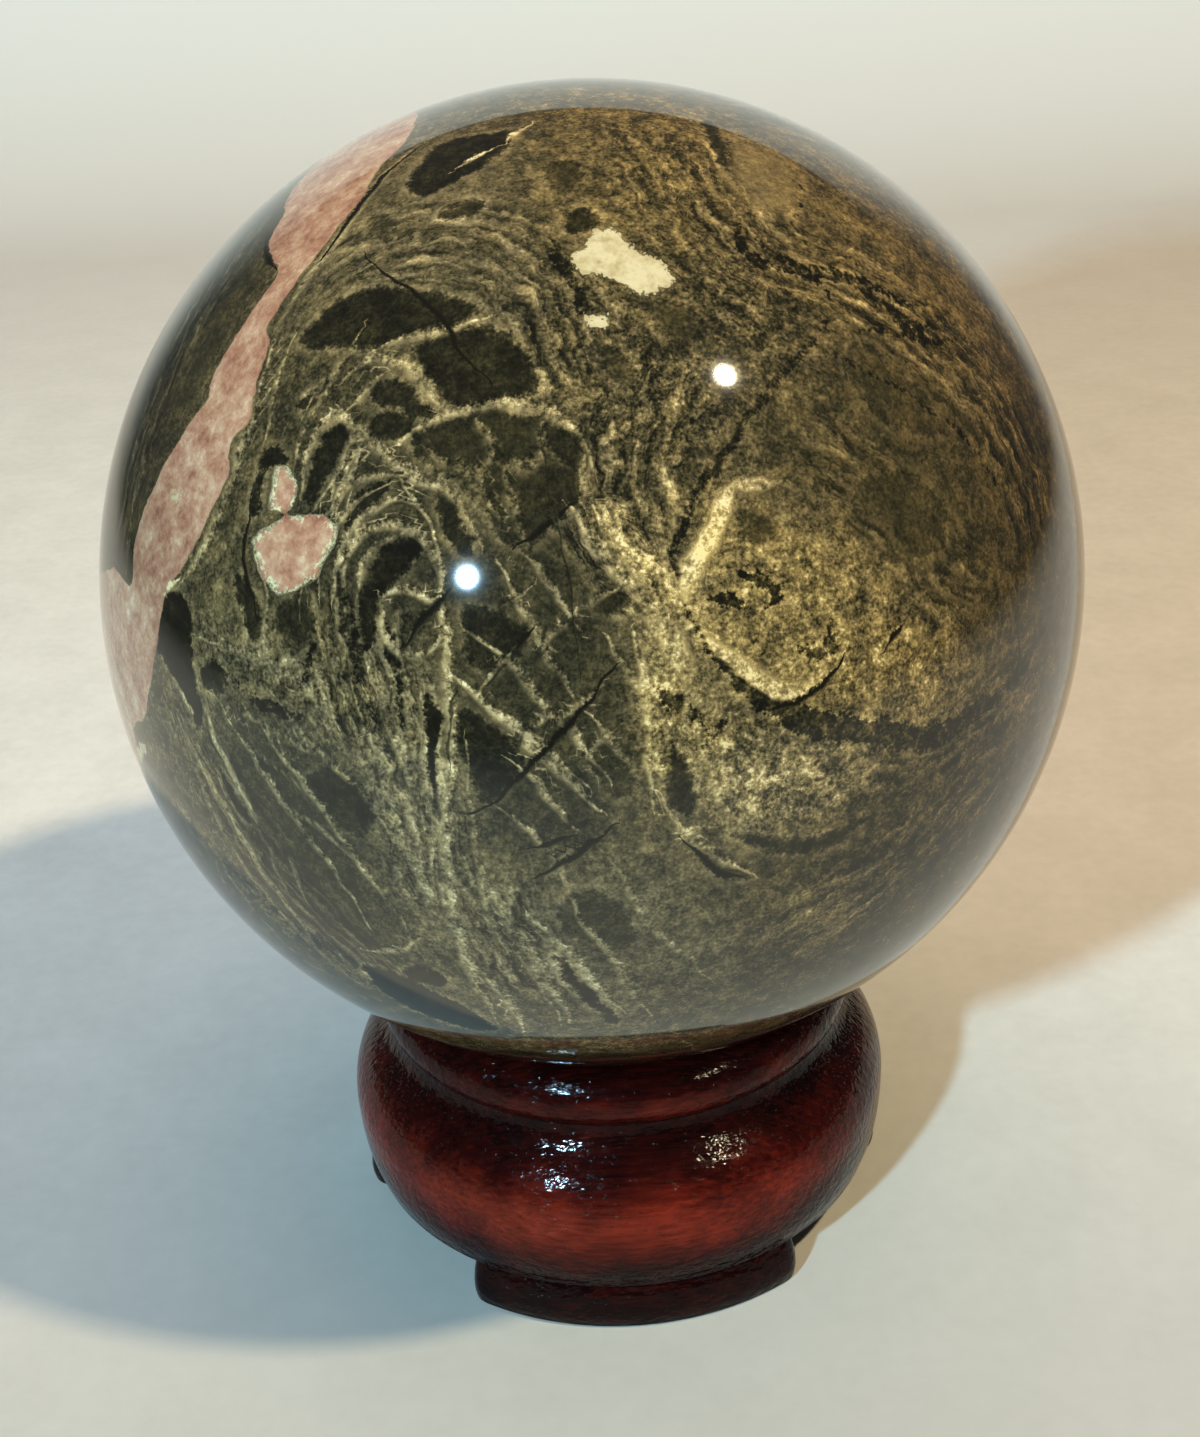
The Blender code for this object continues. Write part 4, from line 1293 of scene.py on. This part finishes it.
def foot(middle):
    """One closed foot: an arc of the ring with rounded ends."""
    half = math.radians(FOOT_HALF_ANGLE)
    offsets = [d / FOOT_FACE for d in FOOT_END_CUTS]
    steps = FOOT_MIDDLE_STEPS
    inner = [-half + offsets[-1] + (2 * half - 2 * offsets[-1]) * i / steps for i in range(1, steps)]
    stations = [-half + o for o in offsets] + inner + [half - o for o in reversed(offsets)]
    verts = []
    count = 0
    for station in stations:
        distance = (half - abs(station)) * FOOT_FACE
        section = foot_section(round_off(distance, FOOT_CORNER), round_off(distance, FOOT_SOFTENING))
        count = len(section)
        turn = middle + station
        verts += [(r * math.sin(turn), -r * math.cos(turn), z) for r, z in section]
    faces = []
    for s in range(len(stations) - 1):
        for i in range(count):
            j = (i + 1) % count
            faces.append((s * count + i, s * count + j, (s + 1) * count + j, (s + 1) * count + i))
    faces.append(tuple(range(count - 1, -1, -1)))
    top = (len(stations) - 1) * count
    faces.append(tuple(top + i for i in range(count)))
    return verts, faces


def painted_light_redness(x, y, z):
    """Painted shade and light in the stain's redness: from 0, near black, in the coves, where shade falls, to
    reddest on the belly over each foot, where light falls.
    """
    turn = math.atan2(x, -y) - PAINTED_LIGHT_TURN
    over_foot = 0.5 + 0.5 * math.cos(3 * turn)
    swell = math.exp(-((z - BELLY_PAINTED_LIGHT[0]) / BELLY_PAINTED_LIGHT[1]) ** 2)
    lip = 0.5 * math.exp(-((z - LIP_PAINTED_LIGHT[0]) / LIP_PAINTED_LIGHT[1]) ** 2)
    # Painted light: the belly and the lip are redder over a foot, and the belly also on the left, towards the
    # cool lamp
    return 0.03 + (0.44 + 0.22 * over_foot - 0.2 * math.sin(turn)) * swell + lip * (0.5 + 0.3 * over_foot)


def lacquered_wood():
    """Open-grained wood, stained red-brown under thick gloss lacquer, with painted shade and light in the
    stain's redness: pores break the shine into specks.
    """
    material, tree, shader = new_material("red lacquered wood")
    # Grain 0.5 mm and pores 0.3 mm wide, drawn out along X, stained clouds 6 mm across
    grain, = swinging_noise(tree, millimetres(tree, (0.08, 1.0, 1.0)), ((0.5, 4.0, 0.6),))
    cloud, = swinging_noise(tree, millimetres(tree), ((6.0, 4.0, 0.55),))
    pores, = swinging_noise(tree, millimetres(tree, (0.35, 1.0, 1.0)), ((0.3, 2.0, 0.5),))
    # The stain's redness carries painted shade in the coves and painted light on the belly, the lip and the
    # left
    stain_and_shade = weighted(tree, painted(tree, "stain_and_shade")[0], (grain, 0.7), (cloud, 0.7))
    wood = add_node(tree, RAMP, {0: stain_and_shade}, stops=(
        (0.0, "#0d0202"), (1.0, "#8c341e"), (0.25, "#260604"), (0.5, "#481109"), (0.75, "#6a1f11")))
    pore = add_node(
        tree, RANGE, {0: pores, FROM_LOW: -0.22, FROM_HIGH: -0.1, TO_LOW: 0.4, TO_HIGH: 0.0}, **SMOOTH)
    wood = add_node(
        tree, MIX, {SHARE: pore, COLOUR_A: wood, COLOUR_B: linear("#120403")}, COLOUR_OUT, **COLOUR)
    tree.links.new(wood, shader.inputs["Base Color"])
    # Ripples of the lacquer 0.9 mm wide
    ripple, = swinging_noise(tree, millimetres(tree, (0.5, 1.0, 1.0)), ((0.9, 2.0, 0.5),))
    height = weighted(tree, 0.0, (pore, -2.5), (cloud, 1.5), (ripple, 4.0))
    dents = add_node(tree, "ShaderNodeBump", {"Strength": 0.5, "Distance": 0.00008, "Height": height})
    tree.links.new(dents, shader.inputs["Coat Normal"])
    shader.inputs["Roughness"].default_value = 0.45
    shader.inputs["Specular IOR Level"].default_value = 0.0
    shader.inputs["Coat Weight"].default_value = 1.0
    shader.inputs["Coat Roughness"].default_value = 0.11
    shader.inputs["Coat IOR"].default_value = 1.22
    return material


def make_stand():
    """The turned stand with its three feet, in place of the wooden_stand solid."""
    verts, faces = revolved(stand_profile())
    for index in range(3):
        more, sides = foot(math.radians(FOOT_TURN + 120 * index))
        faces += [tuple(len(verts) + i for i in face) for face in sides]
        verts += more
    mesh = bpy.data.meshes.new("turned_stand")
    mesh.from_pydata([(x * MM, y * MM, z * MM) for x, y, z in verts], [], faces)
    mesh.shade_smooth()
    mesh.set_sharp_from_angle(angle=SHARP_EDGE)
    # Painted shade and light: the stain's redness, darkest in the coves and reddest where light falls
    store(mesh, "stain_and_shade", [(painted_light_redness(*v), 0.0, 0.0) for v in verts])
    stand = bpy.data.objects.new("turned_stand", mesh)
    bpy.context.scene.collection.objects.link(stand)
    mesh.materials.append(lacquered_wood())
    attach(stand, "root")
    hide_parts("wooden_stand")
    return stand


picture_camera = make_camera()
make_floor()
make_light(picture_camera)
make_ball(picture_camera)
light_stand_only(make_stand())
